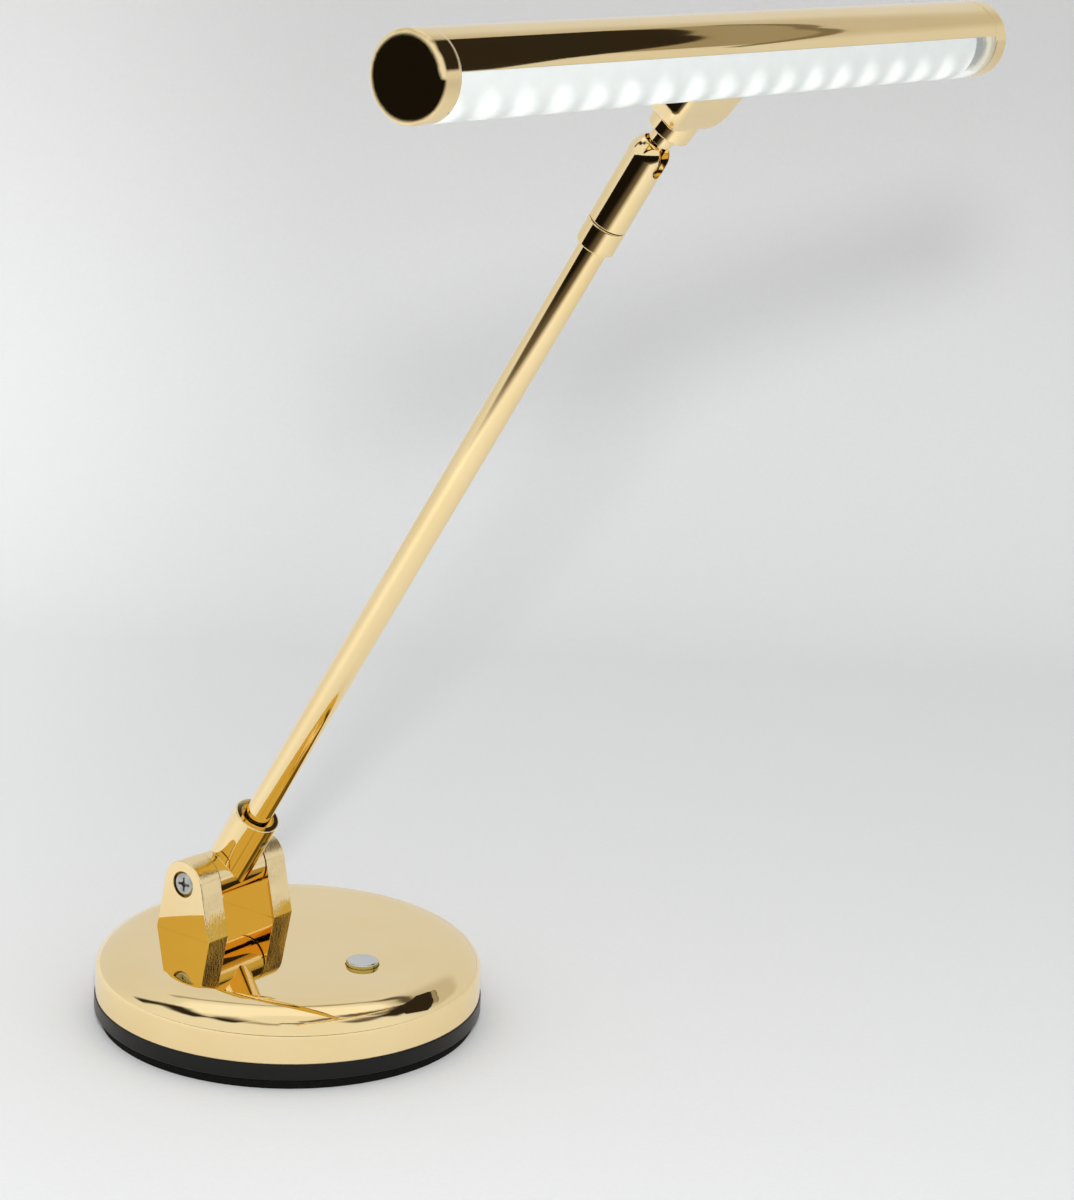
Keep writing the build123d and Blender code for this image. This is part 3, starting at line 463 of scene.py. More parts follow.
@dataclass(frozen=True)
class FoamRubber:
    """Closed-cell foam cut from sheet: the cut opens small cells in a dull black face."""

    name: str = "closed_cell_eva_foam_cut_black"
    colour: str = "060606"
    cell_colour: str = "121211"
    cell_mm: float = 0.8
    cell_depth_mm: float = 0.12
    cell_band: Pair = (0.1, 0.6)
    relief: float = 0.6
    roughness: float = 0.85
    ior: float = 1.45
    gloss_level: float = 0.15

    def make(self) -> Material:
        """Build the foam's material.

        Returns:
            The foam with its opened cells.
        """
        material, tree = new_material(self.name)
        place = add_node(tree, "TexCoord").outputs
        cells = add_node(tree, "TexVoronoi", {**sized(place["Object"], self.cell_mm)})
        walls = add_node(tree, "MapRange", {"Value": cells, **between(*self.cell_band)})
        colour = add_node(tree, "Mix", {
            "Factor": walls, "A": linear(self.colour), "B": linear(self.cell_colour)},
            data_type="RGBA")
        skin = add_node(tree, "Bump", {
            "Height": walls, "Strength": self.relief, "Distance": self.cell_depth_mm * MM})
        shader = add_node(tree, "BsdfPrincipled", {
            "Base Color": colour, "Roughness": self.roughness, "IOR": self.ior,
            "Specular IOR Level": self.gloss_level, "Normal": skin})
        add_node(tree, "OutputMaterial", {"Surface": shader})
        return material


@dataclass(frozen=True)
class FrostedAcrylic:
    """Extruded acrylic: frosted inside along the LEDs, and clear where the frosting stops.

    The LEDs' light in the frosting is painted on as emission: a blurred slanting patch of painted
    glow over each LED, in a paler painted haze, and a faint painted glow on the clear end.
    The clear end shows the terminal and the cap.
    """

    row: LedRow
    name: str = "extruded_acrylic_frosted_inside"
    colour: str = "d6d9d8"
    ior: float = 1.49
    frost_roughness: float = 0.38
    clear_roughness: float = 0.015
    frost_end: float = 0.1365
    frost_clearness: float = 0.25
    glow: str = "f9fffc"
    painted_haze_glow: float = 0.15
    painted_patch_glow: float = 0.29
    patch_width: float = 8.2 * MM
    patch_length: float = 10.5 * MM
    patch_slant: float = -0.52
    patch_turn: float = 50.0
    patch_fade: Pair = (1.05, 0.05)
    painted_stray_glow: float = 0.15
    frost_border: float = 0.4 * MM
    frost_unevenness: float = 0.04
    mottle_mm: float = 7.0
    mottle: Pair = (0.86, 1.1)

    def make(self) -> Material:
        """Build the acrylic's material.

        Returns:
            The acrylic with the LEDs' glow painted into its frosting as emission.
        """
        material, tree = new_material(self.name)
        place = add_node(tree, "TexCoord").outputs
        axes = add_node(tree, "SeparateXYZ", {"Vector": place["Object"]}).outputs
        frosted = add_node(tree, "MapRange", {
            "Value": axes["X"], "From Min": self.frost_end - self.frost_border,
            "From Max": self.frost_end + self.frost_border, "To Min": 1.0, "To Max": 0.0})
        drift = add_node(tree, "TexNoise", {
            **sized(place["Object"], self.mottle_mm), "Detail": 2.0})
        frost = add_node(tree, "MapRange", {
            "Value": drift, **NOISE_BAND, "To Min": self.frost_roughness - self.frost_unevenness,
            "To Max": self.frost_roughness + self.frost_unevenness})
        roughness = add_node(tree, "Mix", {
            "Factor": frosted, "A": self.clear_roughness, "B": frost})
        clearness = add_node(tree, "Mix", {"Factor": frosted, "A": 1.0, "B": self.frost_clearness})
        # around the tube: how far a point lies from the row of patches, in metres along the wall
        ahead = add_node(tree, "Math", {0: self.row.centre[1], 1: axes["Y"]}, operation="SUBTRACT")
        below = add_node(tree, "Math", {0: self.row.centre[2], 1: axes["Z"]}, operation="SUBTRACT")
        turn = add_node(tree, "Math", {0: below, 1: ahead}, operation="ARCTAN2")
        around = add_node(tree, "Math", {
            0: turn, 1: self.row.wall_radius,
            2: -math.radians(self.patch_turn) * self.row.wall_radius}, operation="MULTIPLY_ADD")
        # along the tube: how far the point lies from the nearest LED's slanted middle line
        slanted = add_node(tree, "Math", {
            0: around, 1: self.patch_slant, 2: axes["X"]}, operation="MULTIPLY_ADD")
        stepped = add_node(tree, "Math", {
            0: slanted, 1: 1 / self.row.pitch, 2: 0.5 - self.row.start / self.row.pitch},
            operation="MULTIPLY_ADD")
        part = add_node(tree, "Math", {0: stepped}, operation="FRACT")
        along = add_node(tree, "Math", {
            0: part, 1: self.row.pitch / self.patch_width,
            2: -0.5 * self.row.pitch / self.patch_width}, operation="MULTIPLY_ADD")
        across = add_node(tree, "Math", {0: around, 1: 1 / self.patch_length}, operation="MULTIPLY")
        reach = add_node(tree, "CombineXYZ", {"X": along, "Y": across})
        distance = add_node(tree, "VectorMath", {0: reach}, operation="LENGTH")
        # painted light: emission patches over the LEDs stand in for their light scattered by the
        # frosting
        patch = add_node(tree, "MapRange", {
            "Value": distance, **between(*self.patch_fade), "To Min": self.painted_haze_glow,
            "To Max": self.painted_haze_glow + self.painted_patch_glow}, **SMOOTH)
        mottled = add_node(tree, "MapRange", {
            "Value": drift, **NOISE_BAND, "To Min": self.mottle[0], "To Max": self.mottle[1]})
        shown = add_node(tree, "Math", {0: patch, 1: mottled}, operation="MULTIPLY")
        # painted light: the clear end gets a faint painted glow of its own
        strength = add_node(tree, "Mix", {"Factor": frosted, "A": self.painted_stray_glow, "B": shown})
        shader = add_node(tree, "BsdfPrincipled", {
            "Base Color": linear(self.colour), "Roughness": roughness, "IOR": self.ior,
            "Transmission Weight": clearness, "Emission Color": linear(self.glow),
            "Emission Strength": strength})
        add_node(tree, "OutputMaterial", {"Surface": shader})
        return material


@dataclass(frozen=True)
class Phosphor:
    """Silicone with yellow phosphor over the LED chip: it glows cool white, a little speckled."""

    name: str = "silicone_phosphor_moulded"
    colour: str = "f2dc7a"
    glow: str = "f4fff8"
    strength: float = 2.5
    roughness: float = 0.35
    speckle_mm: float = 0.5
    speckle_share: float = 0.15

    def make(self) -> Material:
        """Build the phosphor's material.

        Returns:
            The glowing silicone.
        """
        material, tree = new_material(self.name)
        place = add_node(tree, "TexCoord").outputs
        speckle = add_node(tree, "TexNoise", {
            **sized(place["Object"], self.speckle_mm), "Detail": 2.0})
        glow = add_node(tree, "MapRange", {
            "Value": speckle, **NOISE_BAND, "To Min": (1 - self.speckle_share) * self.strength,
            "To Max": (1 + self.speckle_share) * self.strength})
        shader = add_node(tree, "BsdfPrincipled", {
            "Base Color": linear(self.colour), "Roughness": self.roughness,
            "Emission Color": linear(self.glow), "Emission Strength": glow})
        add_node(tree, "OutputMaterial", {"Surface": shader})
        return material


@dataclass(frozen=True)
class MaskedBoard:
    """Fibreglass board under solder mask; the copper tracks stand out as slightly raised paths."""

    name: str
    mask: str
    track: str
    track_mm: float = 3.0
    track_rise_mm: float = 0.035
    track_band: Pair = (0.44, 0.5)
    roughness: float = 0.38
    ior: float = 1.52

    def make(self) -> Material:
        """Build the board's material.

        Returns:
            The masked board with its tracks.
        """
        material, tree = new_material(self.name)
        place = add_node(tree, "TexCoord").outputs
        paths = add_node(tree, "TexVoronoi", {
            **sized(place["Object"], self.track_mm)}, distance="CHEBYCHEV")
        tracks = add_node(tree, "MapRange", {"Value": paths, **between(*self.track_band)})
        colour = add_node(tree, "Mix", {
            "Factor": tracks, "A": linear(self.mask), "B": linear(self.track)}, data_type="RGBA")
        raised = add_node(tree, "Bump", {"Height": tracks, "Distance": self.track_rise_mm * MM})
        shader = add_node(tree, "BsdfPrincipled", {
            "Base Color": colour, "Roughness": self.roughness, "IOR": self.ior, "Normal": raised})
        add_node(tree, "OutputMaterial", {"Surface": shader})
        return material


# hard gold over polished brass: a mirror that is pale where it meets a white room
PLATED_GOLD = Metal(
    "gold_plated_polished_brass", "fde6b4", "fbe2ac", "fdefd0", 0.022, haze=0.02, patch_mm=35.0)
Finish = Metal | Plastic | FoamRubber | FrostedAcrylic | Phosphor | MaskedBoard


def made(finish: Finish) -> Material:
    """Declare a field that holds the finish's material."""
    return field(default_factory=finish.make)


@dataclass(frozen=True)
class Finishes:
    """Every finish on the lamp, made once and shared by the pieces."""

    gold: Material = made(PLATED_GOLD)
    # the same plating over edges that were ground along their length: hair lines and slow waves
    # streak the mirror
    ground_gold: Material = made(replace(
        PLATED_GOLD, name="gold_plated_ground_brass", grain_mm=0.5, grain_depth_mm=0.11,
        ripple_mm=9.0, ripple_depth_mm=0.5, lay=Lay.ALONG_Z, edges_only=True))
    # spun caps: the same plating, with the broad round edge that spinning leaves
    spun_gold: Material = made(replace(PLATED_GOLD, name="gold_plated_spun_brass", edge_mm=1.5))
    # bright chromium over turned steel: cold and nearly white, with a faint satin haze
    chrome: Material = made(Metal(
        "chromed_turned_steel", "d5d8da", "c7cbcf", "eceeef", 0.05, haze=0.06,
        grain_depth_mm=0.0008))
    # nickel over pressed steel: a soft grey shine that blurs what it shows
    nickel: Material = made(Metal(
        "nickel_plated_pressed_steel", "c8cacb", "a3a5a7", "e0e1e2", 0.11, haze=0.08,
        patch_mm=3.0))
    # bare turned steel: plain grey with a dull shine
    bright_steel: Material = made(Metal(
        "bright_turned_steel", "bfbfbc", "a9a9a6", "dcdcda", 0.18, haze=0.1))
    # zinc over pressed steel: bluish, with yellowish patches where it was passivated
    zinc_steel: Material = made(Metal(
        "zinc_plated_pressed_steel", "b9bec2", "a6a89c", "d2d4d5", 0.24, haze=0.14,
        patch_mm=5.0))
    # iron from a sand mould: dark and rough, bright only where its edges were knocked
    cast_iron: Material = made(Metal(
        "sand_cast_iron", "4b4a49", "3a3735", "7a7876", 0.52, haze=0.15, patch_mm=8.0,
        grain_mm=1.4, grain_depth_mm=0.12))
    # brass strip as rolled: yellow, with fine lines along the strip
    brass: Material = made(Metal(
        "rolled_brass_strip", "d8b669", "c09a4c", "ecd79b", 0.2, haze=0.1, lay=Lay.ALONG_X))
    # brushed sheet: the brush lines run along the tube and spread its shine across
    aluminium: Material = made(Metal(
        "brushed_aluminium_sheet", "dfe1e0", "cfd2d1", "f2f3f3", 0.34, haze=0.08, grain_mm=0.4,
        grain_depth_mm=0.004, lay=Lay.ALONG_X))
    # ABS from a spark-textured mould: deep black with a soft grey sheen
    black_abs: Material = made(Plastic(
        "injection_moulded_abs_black", "0d0d0d", "131313", 0.3, spread=0.06, ior=1.54,
        grain_depth_mm=0.006, gloss_level=0.2))
    # heat-proof PBT of sockets and switches: dark grey and dull
    black_pbt: Material = made(Plastic(
        "injection_moulded_pbt_black", "1b1b1c", "252526", 0.42, ior=1.57))
    # nylon turned from bar: creamy white and waxy
    nylon: Material = made(Plastic(
        "turned_nylon_white", "e8e4d8", "dcd6c6", 0.34, ior=1.53, grain_depth_mm=0.004))
    # vulcanised fibre: red-brown, matt, with a papery grain
    fibre: Material = made(Plastic(
        "vulcanised_fibre_stamped", "6d2f26", "53231d", 0.6, ior=1.5, grain_mm=0.25,
        grain_depth_mm=0.03))
    # PPA of the LED housings: bright white, so that it throws the light forward
    led_plastic: Material = made(Plastic("moulded_ppa_white", "f3f3ef", "e8e8e2", 0.4, ior=1.56))
    foam: Material = made(FoamRubber())
    acrylic: Material = made(FrostedAcrylic(LedRow()))
    phosphor: Material = made(Phosphor())
    green_board: Material = made(MaskedBoard("fibreglass_board_green_mask", "1d5a34", "2f7a46"))
    white_board: Material = made(MaskedBoard(
        "fibreglass_board_white_mask", "eef0ec", "f7f8f5", track_mm=6.0))


# ---- sub-assemblies
@dataclass(frozen=True)
class Base:
    """Weighted round base with its pad, cover, shell, button and control board."""

    finishes: Finishes
    spring_foot: Triple = (0.0, -36.0 * MM, 18.0 * MM)
    spring_height: float = 6.4 * MM
    button_travel: float = 1.5 * MM

    def dress(self) -> None:
        """Put the finishes on the base's pieces."""
        f = self.finishes
        dress(base_pad=f.foam, base_cover=f.black_abs, base_shell=f.gold, base_weight=f.cast_iron,
              cover_screws=f.zinc_steel, ear_screws=f.zinc_steel, board_screws=f.zinc_steel,
              control_board=f.green_board, driver_parts=f.black_pbt, switch_body=f.black_pbt,
              switch_plunger=f.nylon, push_button=f.chrome, button_spring=f.bright_steel)
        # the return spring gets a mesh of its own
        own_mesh(bpy.data.objects["button_spring"])
        dress(button_guide=f.nylon, power_inlet=f.black_pbt, inlet_nut=f.zinc_steel)


@dataclass(frozen=True)
class Fork:
    """Two ears, the hinge block between them and the screws they turn on."""

    finishes: Finishes

    def dress(self) -> None:
        """Put the finishes on the fork's pieces."""
        f = self.finishes
        dress(left_ear=f.ground_gold, right_ear=f.ground_gold, hinge_block=f.gold,
              pivot_screws=f.nickel, friction_washers=f.fibre, grub_screw=f.bright_steel)


@dataclass(frozen=True)
class Arm:
    """Rod, collar, swivel and the slotted knuckle with its ball and spring."""

    finishes: Finishes

    def dress(self) -> None:
        """Put the finishes on the arm's pieces."""
        f = self.finishes
        dress(rod=f.gold, rod_collar=f.gold, knuckle=f.gold, ball_stem=f.gold,
              swivel_bolt=f.zinc_steel, swivel_washer=f.zinc_steel, ball_seat=f.nylon,
              ball_spring=f.bright_steel, stem_nut=f.zinc_steel)


@dataclass(frozen=True)
class LampHead:
    """Tube with its saddle, caps, clear cover and the row of LEDs behind it."""

    finishes: Finishes
    row: LedRow = LedRow()

    def dress(self) -> None:
        """Put the finishes on the head's pieces, and lay the LED packages."""
        f = self.finishes
        dress(saddle=f.gold, lamp_housing=f.gold, left_cap=f.spun_gold, right_cap=f.spun_gold,
              saddle_screws=f.zinc_steel, light_cover=f.acrylic, led_tray=f.aluminium,
              led_board=f.white_board, wire_terminal=f.brass)
        self.lay_packages()

    def lay_packages(self) -> None:
        """Put housings and lenses in the place of the plain LED blocks."""
        f = self.finishes
        housings = self.row.build(PackagePart.HOUSING, f.led_plastic)
        lenses = self.row.build(PackagePart.LENS, f.phosphor)
        for piece in (housings, lenses):
            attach(piece, "head")
            log.info("laid %s: %d faces", piece.name, len(piece.data.polygons))
        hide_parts("led_chips")


# ---- studio
class Measure(Enum):
    """What a soft border goes by: two angles in degrees, or the backdrop's bent edge."""

    AZIMUTH = "azimuth"
    ELEVATION = "elevation"
    BEND = "bend"


@dataclass(frozen=True)
class Step:
    """Soft step of a direction's measure from one side of a border to the other."""

    measure: Measure
    start: float
    stop: float


@dataclass(frozen=True)
class Layer:
    """Something in the room that shows in the polish, painted over the layers before it.

    A direction belongs to it where it is past every one of its steps.
    """

    colour: Triple
    steps: tuple[Step, ...]


def patch(
        colour: Triple, left: float, right: float, low: float, high: float, soft: float) -> Layer:
    """Describe a soft-edged patch of the room by its limits in degrees.

    Args:
        colour: What the polish shows there.
        left: Largest azimuth.
        right: Smallest azimuth.
        low: Lowest elevation.
        high: Highest elevation.
        soft: Half the width of its soft border.

    Returns:
        The patch as a layer.
    """
    return Layer(colour, (
        Step(Measure.AZIMUTH, right - soft, right + soft),
        Step(Measure.AZIMUTH, left + soft, left - soft),
        Step(Measure.ELEVATION, low - soft, low + soft),
        Step(Measure.ELEVATION, high + soft, high - soft)))


VIEW_AZIMUTH = 36.545
BLACK_CLOTH = (0.028, 0.022, 0.015)
BROWN_SHADE = (0.16, 0.13, 0.10)
HALF_SHADE = (0.42, 0.39, 0.34)


@dataclass(frozen=True)
class Cloth:
    """Dark cloth hung upright beside the set, which only the polish shows.

    The outline is in metres: along the cloth's plane away from the viewpoint, and above the floor.
    """

    name: str
    colour: Triple
    outline: tuple[Pair, ...]
    azimuth: float = -33.0
    distance: float = 1.6

    def hang(self) -> None:
        """Hang the cloth where reflections alone meet it."""
        material, tree = new_material(self.name)
        drab = add_node(tree, "Emission", {"Color": self.colour + (1.0,)})
        add_node(tree, "OutputMaterial", {"Surface": drab})
        out = level(self.azimuth)
        along = Vector((-out.y, out.x, 0.0))
        corners = [out * self.distance + along * s + Vector((0.0, 0.0, z))
                   for s, z in self.outline]
        mesh = bpy.data.meshes.new(self.name)
        mesh.from_pydata(corners, [], [tuple(range(len(corners)))])
        mesh.materials.append(material)
        sheet = bpy.data.objects.new(self.name, mesh)
        for ray in ("camera", "diffuse", "transmission", "volume_scatter", "shadow"):
            setattr(sheet, "visible_" + ray, False)
        enter(sheet)
        log.info("hung the %s", self.name)


@dataclass(frozen=True)
class Studio:
    """Pale floor and backdrop, soft light, and what the room looks like in the polish."""

    floor_colour: str = "eceded"
    # painted shade: the paper darkens to this colour towards the backdrop's top, as the light falls
    # off
    backdrop_top_shaded_colour: str = "d7d6d6"
    backdrop_top: float = 0.40
    # painted light: reflections see the paper in a paler colour, standing in for the key light's
    # glare
    painted_glare_colour: str = "f0efec"
    fibre_mm: float = 2.0
    fibre_tone: Pair = (0.985, 1.015)
    # painted reflection: after one reflection the room is tinted, so gold seen in gold looks deeper
    painted_deep_gold: Triple = (0.76, 0.62, 0.20)
    # painted shade: the floor shows the polish the dark room past the paper's front edge
    front_azimuth: float = 218.5
    front_edge: Pair = (0.32, 0.45)
    front_gloom: Pair = (0.43, 0.60)
    near_gloom: Triple = (0.14, 0.11, 0.075)
    far_gloom: Triple = (0.009, 0.007, 0.005)
    # painted light: the paper is made brighter to one side, where the key light reaches less
    side_reach: Pair = (0.02, 0.30)
    side_brighter: float = 1.20
    floor_reach: float = 15.0
    wall_distance: float = 0.52
    wall_half_width: float = 2.2
    wall_height: float = 2.6
    wall_lift: float = 0.2 * MM
    cove_radius: float = 0.30
    cove_steps: int = 24
    key_place: Triple = (-0.79, -0.70, 0.61)
    key_aim: Triple = (0.0, -0.05, 0.15)
    key_size: float = 0.09
    key_power: float = 6.4
    room_light: float = 0.75
    bend: float = 7.4e-5
    bend_azimuth: float = -18.0
    # cloth and rails hang unevenly, so their borders wander by a few degrees
    fold_scale: float = 6.0
    fold_wander: float = 7.0
    tent: Triple = (0.85, 0.85, 0.83)
    room: tuple[Layer, ...] = (
        # backdrop ahead, a little dimmer than the tent around the viewpoint
        patch((0.72, 0.72, 0.71), 120.0, -60.0, -60.0, 58.0, soft=24.0),
        # the backdrop dims towards its bent right edge
        Layer((0.58, 0.55, 0.50), (
            Step(Measure.BEND, 0.93, 0.87),
            Step(Measure.AZIMUTH, 26.0, 6.0), Step(Measure.AZIMUTH, -60.0, -46.0),
            Step(Measure.ELEVATION, 14.0, 24.0), Step(Measure.ELEVATION, 64.0, 56.0))),
        # black and brown cloth on the right, above the sheets that hang there
        patch(BROWN_SHADE, -58.0, -88.0, 49.0, 63.0, soft=5.0),
        patch(BLACK_CLOTH, -18.0, -62.0, 39.0, 58.0, soft=4.0),
        patch(BROWN_SHADE, -22.0, -50.0, 58.0, 76.0, soft=4.0),
        # white light overhead, with a thin brown rail along its near edge
        patch((0.36, 0.32, 0.26), 76.0, -22.0, 50.0, 53.0, soft=1.5),
        patch((0.12, 0.10, 0.08), 20.0, -22.0, 48.5, 52.5, soft=1.5),
        patch((1.0, 1.0, 0.98), 128.0, -14.0, 57.0, 80.0, soft=3.5),
        # black cloth on the left, and the brown rail that closes the tent overhead
        patch(HALF_SHADE, 178.0, 140.0, 62.0, 73.0, soft=4.0),
        patch(BLACK_CLOTH, 123.0, 113.0, 24.0, 46.0, soft=3.0),
        patch(BLACK_CLOTH, 152.0, 112.0, 43.5, 58.0, soft=4.0),
        patch(BLACK_CLOTH, 178.0, 148.0, 55.0, 67.0, soft=4.0),
        patch(HALF_SHADE, -146.0, -180.0, 61.0, 71.0, soft=3.0),
        patch(BROWN_SHADE, -118.0, -148.0, 69.5, 74.0, soft=2.0),
        patch(BROWN_SHADE, -48.0, -120.0, 75.0, 79.5, soft=2.0),
    )
    cloths: tuple[Cloth, ...] = (
        Cloth("black_cloth", BLACK_CLOTH, (
            (-0.50, 0.52), (-0.16, 0.89), (0.13, 1.17), (0.36, 1.385), (0.46, 1.45),
            (0.655, 1.56), (0.90, 1.69), (1.04, 1.81), (1.06, 2.14), (0.75, 2.15), (0.25, 2.30),
            (-0.40, 2.00), (-0.78, 1.20))),
        Cloth("brown_cloth", (0.34, 0.30, 0.22), (
            (-0.16, 0.89), (-0.05, 0.84), (0.397, 1.29), (0.62, 1.43), (1.00, 1.67),
            (1.04, 1.81), (0.90, 1.69), (0.655, 1.56), (0.46, 1.45), (0.36, 1.385),
            (0.13, 1.17))),
        Cloth("brown_webbing", (0.20, 0.17, 0.12), (
            (-0.10, 0.76), (-0.05, 0.81), (0.397, 1.26), (0.62, 1.40), (1.00, 1.64),
            (1.00, 1.67), (0.62, 1.43), (0.397, 1.29), (-0.05, 0.84), (-0.10, 0.79))),
    )

    def paint_world(self) -> None:
        """Light the scene evenly, and show the room to reflections only."""
        world = bpy.data.worlds.new("soft_room")
        bpy.context.scene.world = world
        world.use_nodes = True
        tree = world.node_tree
        tree.nodes.clear()
        place = add_node(tree, "TexCoord").outputs
        axes = add_node(tree, "SeparateXYZ", {"Vector": place["Generated"]}).outputs
        turn = add_node(tree, "Math", {0: axes["Y"], 1: axes["X"]}, operation="ARCTAN2")
        rise = add_node(tree, "Math", {0: axes["Z"]}, operation="ARCSINE")
        azimuth, elevation = (
            add_node(tree, "Math", {0: angle}, operation="DEGREES") for angle in (turn, rise))
        folds = add_node(tree, "TexNoise", {
            "Vector": place["Generated"], "Scale": self.fold_scale, "Detail": 2.0})
        wandering = add_node(tree, "Math", {
            0: folds, 1: self.fold_wander, 2: -0.5 * self.fold_wander}, operation="MULTIPLY_ADD")
        uneven = add_node(tree, "Math", {0: elevation, 1: wandering}, operation="ADD")
        aside = add_node(tree, "Math", {0: azimuth, 1: -self.bend_azimuth}, operation="ADD")
        squared = add_node(tree, "Math", {0: aside, 1: aside}, operation="MULTIPLY")
        bent = add_node(tree, "Math", {
            0: squared, 1: self.bend, 2: axes["X"]}, operation="MULTIPLY_ADD")
        measures = {Measure.AZIMUTH: azimuth, Measure.ELEVATION: uneven, Measure.BEND: bent}
        shade = self.tent + (1.0,)
        for layer in self.room:
            cover = 1.0
            for step in layer.steps:
                past = add_node(tree, "MapRange", {
                    "Value": measures[step.measure], **between(step.start, step.stop)}, **SMOOTH)
                cover = add_node(tree, "Math", {0: cover, 1: past}, operation="MULTIPLY")
            shade = add_node(tree, "MixRGB", {
                "Fac": cover, "Color1": shade, "Color2": layer.colour + (1.0,)})
        path = add_node(tree, "LightPath").outputs
        # reflections after the first
        again = add_node(tree, "MapRange", {"Value": path["Glossy Depth"], **between(1.0, 2.0)})
        # painted reflection: a gold tint on what the polish shows after the first reflection
        painted_deeper = add_node(tree, "MixRGB", {
            "Fac": again, "Color1": shade, "Color2": self.painted_deep_gold + (1.0,)},
            blend_type="MULTIPLY")
        seen = add_node(tree, "Math", {
            0: path["Is Glossy Ray"], 1: path["Is Transmission Ray"]}, operation="MAXIMUM")
        shown = add_node(tree, "MixRGB", {
            "Fac": seen, "Color1": (self.room_light,) * 3 + (1.0,), "Color2": painted_deeper})
        sky = add_node(tree, "Background", {"Color": shown})
        add_node(tree, "OutputWorld", {"Surface": sky})
        log.info("painted the soft room")

    def paper(self) -> Material:
        """Make the pale paper of floor and backdrop; its far side lets the view through.

        Returns:
            The paper's material, with painted light and shade in its colour.
        """
        material, tree = new_material("matt_background_paper")
        geometry = add_node(tree, "NewGeometry").outputs
        place = add_node(tree, "SeparateXYZ", {"Vector": geometry["Position"]}).outputs
        path = add_node(tree, "LightPath").outputs
        forward = add_node(tree, "VectorMath", {
            0: geometry["Position"], 1: level(self.front_azimuth)}, operation="DOT_PRODUCT")
        beyond = add_node(tree, "MapRange", {
            "Value": forward, **between(*self.front_edge)}, **SMOOTH)
        # painted shade: reflections see the floor unlit and dark beyond the front edge
        gloom = add_node(tree, "MapRange", {
            "Value": forward, **between(*self.front_gloom)}, **SMOOTH)
        gloomy = add_node(tree, "MixRGB", {
            "Fac": gloom, "Color1": self.near_gloom + (1.0,), "Color2": self.far_gloom + (1.0,)})
        dark = add_node(tree, "Math", {0: path["Is Glossy Ray"], 1: beyond}, operation="MULTIPLY")
        fibre = add_node(tree, "TexNoise", {
            **sized(geometry["Position"], self.fibre_mm), "Detail": 3.0})
        tone = add_node(tree, "MapRange", {
            "Value": fibre, **between(0.2, 0.8), "To Min": self.fibre_tone[0],
            "To Max": self.fibre_tone[1]})
        height = add_node(tree, "MapRange", {
            "Value": place["Z"], "From Max": self.backdrop_top}, **SMOOTH)
        sideways = add_node(tree, "VectorMath", {
            0: geometry["Position"], 1: level(VIEW_AZIMUTH + 90.0)}, operation="DOT_PRODUCT")
        # painted light: the paper's colour is raised to one side of the view
        painted_side_light = add_node(tree, "MapRange", {
            "Value": sideways, **between(*self.side_reach), "To Min": 1.0,
            "To Max": self.side_brighter}, **SMOOTH)
        tone_and_side_light = add_node(tree, "Math", {0: tone, 1: painted_side_light}, operation="MULTIPLY")
        # painted shade: the paper's colour darkens towards the backdrop's top
        height_shaded = add_node(tree, "MixRGB", {
            "Fac": height, "Color1": linear(self.floor_colour),
            "Color2": linear(self.backdrop_top_shaded_colour)})
        # painted light: reflections see the paper paler, as if glared by the key light
        painted_shade_and_glare = add_node(tree, "MixRGB", {
            "Fac": path["Is Glossy Ray"], "Color1": height_shaded, "Color2": linear(self.painted_glare_colour)})
        colour = add_node(tree, "VectorMath", {0: painted_shade_and_glare, "Scale": tone_and_side_light}, operation="SCALE")
        matt = add_node(tree, "BsdfDiffuse", {"Color": colour})
        # painted shade: the unlit dark that reflections see past the front edge
        unlit = add_node(tree, "Emission", {"Color": gloomy})
        front = add_node(tree, "MixShader", {0: dark, 1: matt, 2: unlit})
        through = add_node(tree, "BsdfTransparent")
        sided = add_node(tree, "MixShader", {0: geometry["Backfacing"], 1: front, 2: through})
        add_node(tree, "OutputMaterial", {"Surface": sided})
        return material

    def lay_paper(self) -> None:
        """Lay the floor, and raise the backdrop out of it through a wide cove."""
        paper = self.paper()
        reach = self.floor_reach
        floor_mesh = bpy.data.meshes.new("floor")
        floor_mesh.from_pydata(
            [(-reach, -reach, 0), (reach, -reach, 0), (reach, reach, 0), (-reach, reach, 0)], [],
            [(0, 1, 2, 3)])
        profile = [(self.wall_distance, self.wall_lift)]
        for step in range(1, self.cove_steps + 1):
            angle = math.radians(90.0) * step / self.cove_steps
            profile.append((self.wall_distance + self.cove_radius * math.sin(angle),
                            self.wall_lift + self.cove_radius * (1 - math.cos(angle))))
        profile.append((self.wall_distance + self.cove_radius, self.wall_height))
        ahead = level(VIEW_AZIMUTH)
        aside = Vector((-ahead.y, ahead.x, 0.0))
        points = [ahead * depth + aside * side + Vector((0, 0, height))
                  for depth, height in profile
                  for side in (self.wall_half_width, -self.wall_half_width)]
        faces = [(2 * i, 2 * i + 1, 2 * i + 3, 2 * i + 2) for i in range(len(profile) - 1)]
        wall_mesh = bpy.data.meshes.new("backdrop")
        wall_mesh.from_pydata(points, [], faces)
        for name, mesh in (("floor", floor_mesh), ("backdrop", wall_mesh)):
            for face in mesh.polygons:
                face.use_smooth = True
            mesh.materials.append(paper)
            sheet = bpy.data.objects.new(name, mesh)
            # the room that the polish shows above the floor is the world's
            sheet.visible_glossy = name == "floor"
            enter(sheet)
            log.info("laid the %s", name)

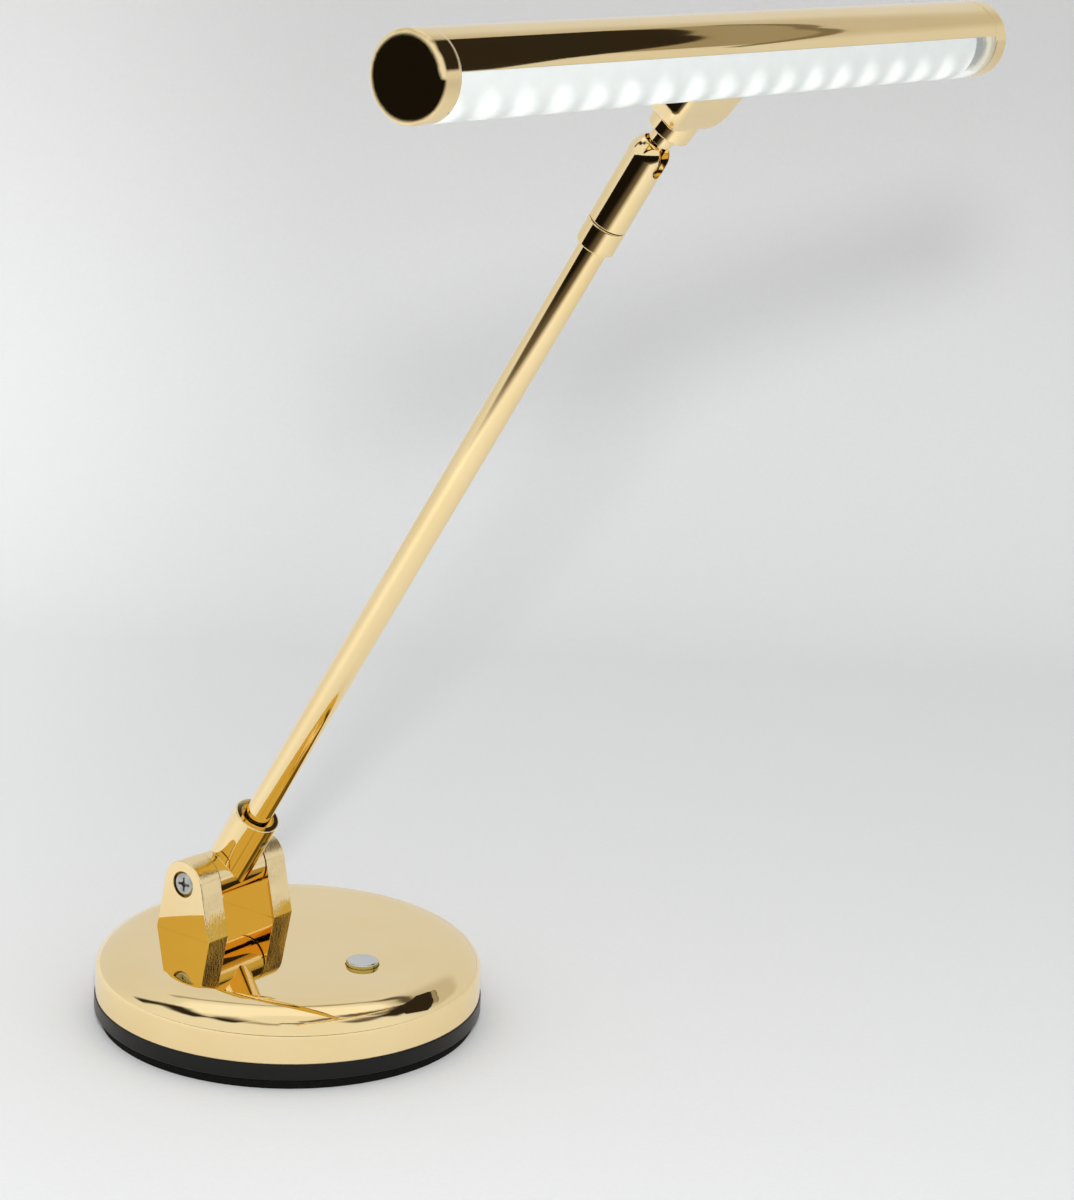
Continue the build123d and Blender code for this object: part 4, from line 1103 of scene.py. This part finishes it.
    def add_key_light(self) -> None:
        """Add the round soft light that shines at the lamp and stays out of its polish."""
        lamp = bpy.data.lights.new("key_light", "AREA")
        lamp.shape = "DISK"
        lamp.size = self.key_size
        lamp.energy = self.key_power
        holder = bpy.data.objects.new("key_light", lamp)
        holder.location = self.key_place
        beam = Vector(self.key_aim) - Vector(self.key_place)
        holder.rotation_euler = beam.to_track_quat("-Z", "Y").to_euler()
        holder.visible_glossy = False
        enter(holder)
        log.info("placed the key light")

    def build(self) -> None:
        """Set up room, paper, cloths and light."""
        self.paint_world()
        self.lay_paper()
        for cloth in self.cloths:
            cloth.hang()
        self.add_key_light()


@dataclass(frozen=True)
class Viewpoint:
    """Camera in front of the base, to the lamp's left, and a little above the tube."""

    place: Triple = (-0.800191, -0.702453, 0.444177)
    heading: float = VIEW_AZIMUTH
    dip: float = 14.705
    roll: float = 2.423
    lens_mm: float = 90.0
    sensor_mm: float = 36.0
    clip_start: float = 0.01
    clip_end: float = 60.0

    def build(self) -> None:
        """Place the camera and make it the scene's own."""
        heading, dip, roll = (math.radians(a) for a in (self.heading, self.dip, self.roll))
        forward = Vector((
            math.cos(heading) * math.cos(dip), math.sin(heading) * math.cos(dip), -math.sin(dip)))
        level_right = forward.cross(Vector((0, 0, 1))).normalized()
        level_up = level_right.cross(forward)
        right = level_right * math.cos(roll) + level_up * math.sin(roll)
        up = level_up * math.cos(roll) - level_right * math.sin(roll)
        turn = Matrix((right, up, -forward)).transposed().to_4x4()
        lens = bpy.data.cameras.new("viewpoint")
        lens.lens = self.lens_mm
        lens.sensor_fit = "VERTICAL"
        lens.sensor_height = self.sensor_mm
        lens.sensor_width = self.sensor_mm
        lens.clip_start = self.clip_start
        lens.clip_end = self.clip_end
        camera = bpy.data.objects.new("viewpoint", lens)
        camera.matrix_world = Matrix.Translation(self.place) @ turn
        enter(camera)
        bpy.context.scene.camera = camera
        log.info("set the viewpoint")


def main() -> None:
    """Dress every sub-assembly, then set the studio and the camera."""
    logging.basicConfig(level=logging.INFO, format="%(name)s: %(message)s")
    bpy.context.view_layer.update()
    bpy.context.scene.view_settings.view_transform = "Standard"
    finishes = Finishes()
    for part in (Base(finishes), Fork(finishes), Arm(finishes), LampHead(finishes)):
        part.dress()
    Studio().build()
    Viewpoint().build()


if __name__ == "__main__":
    main()
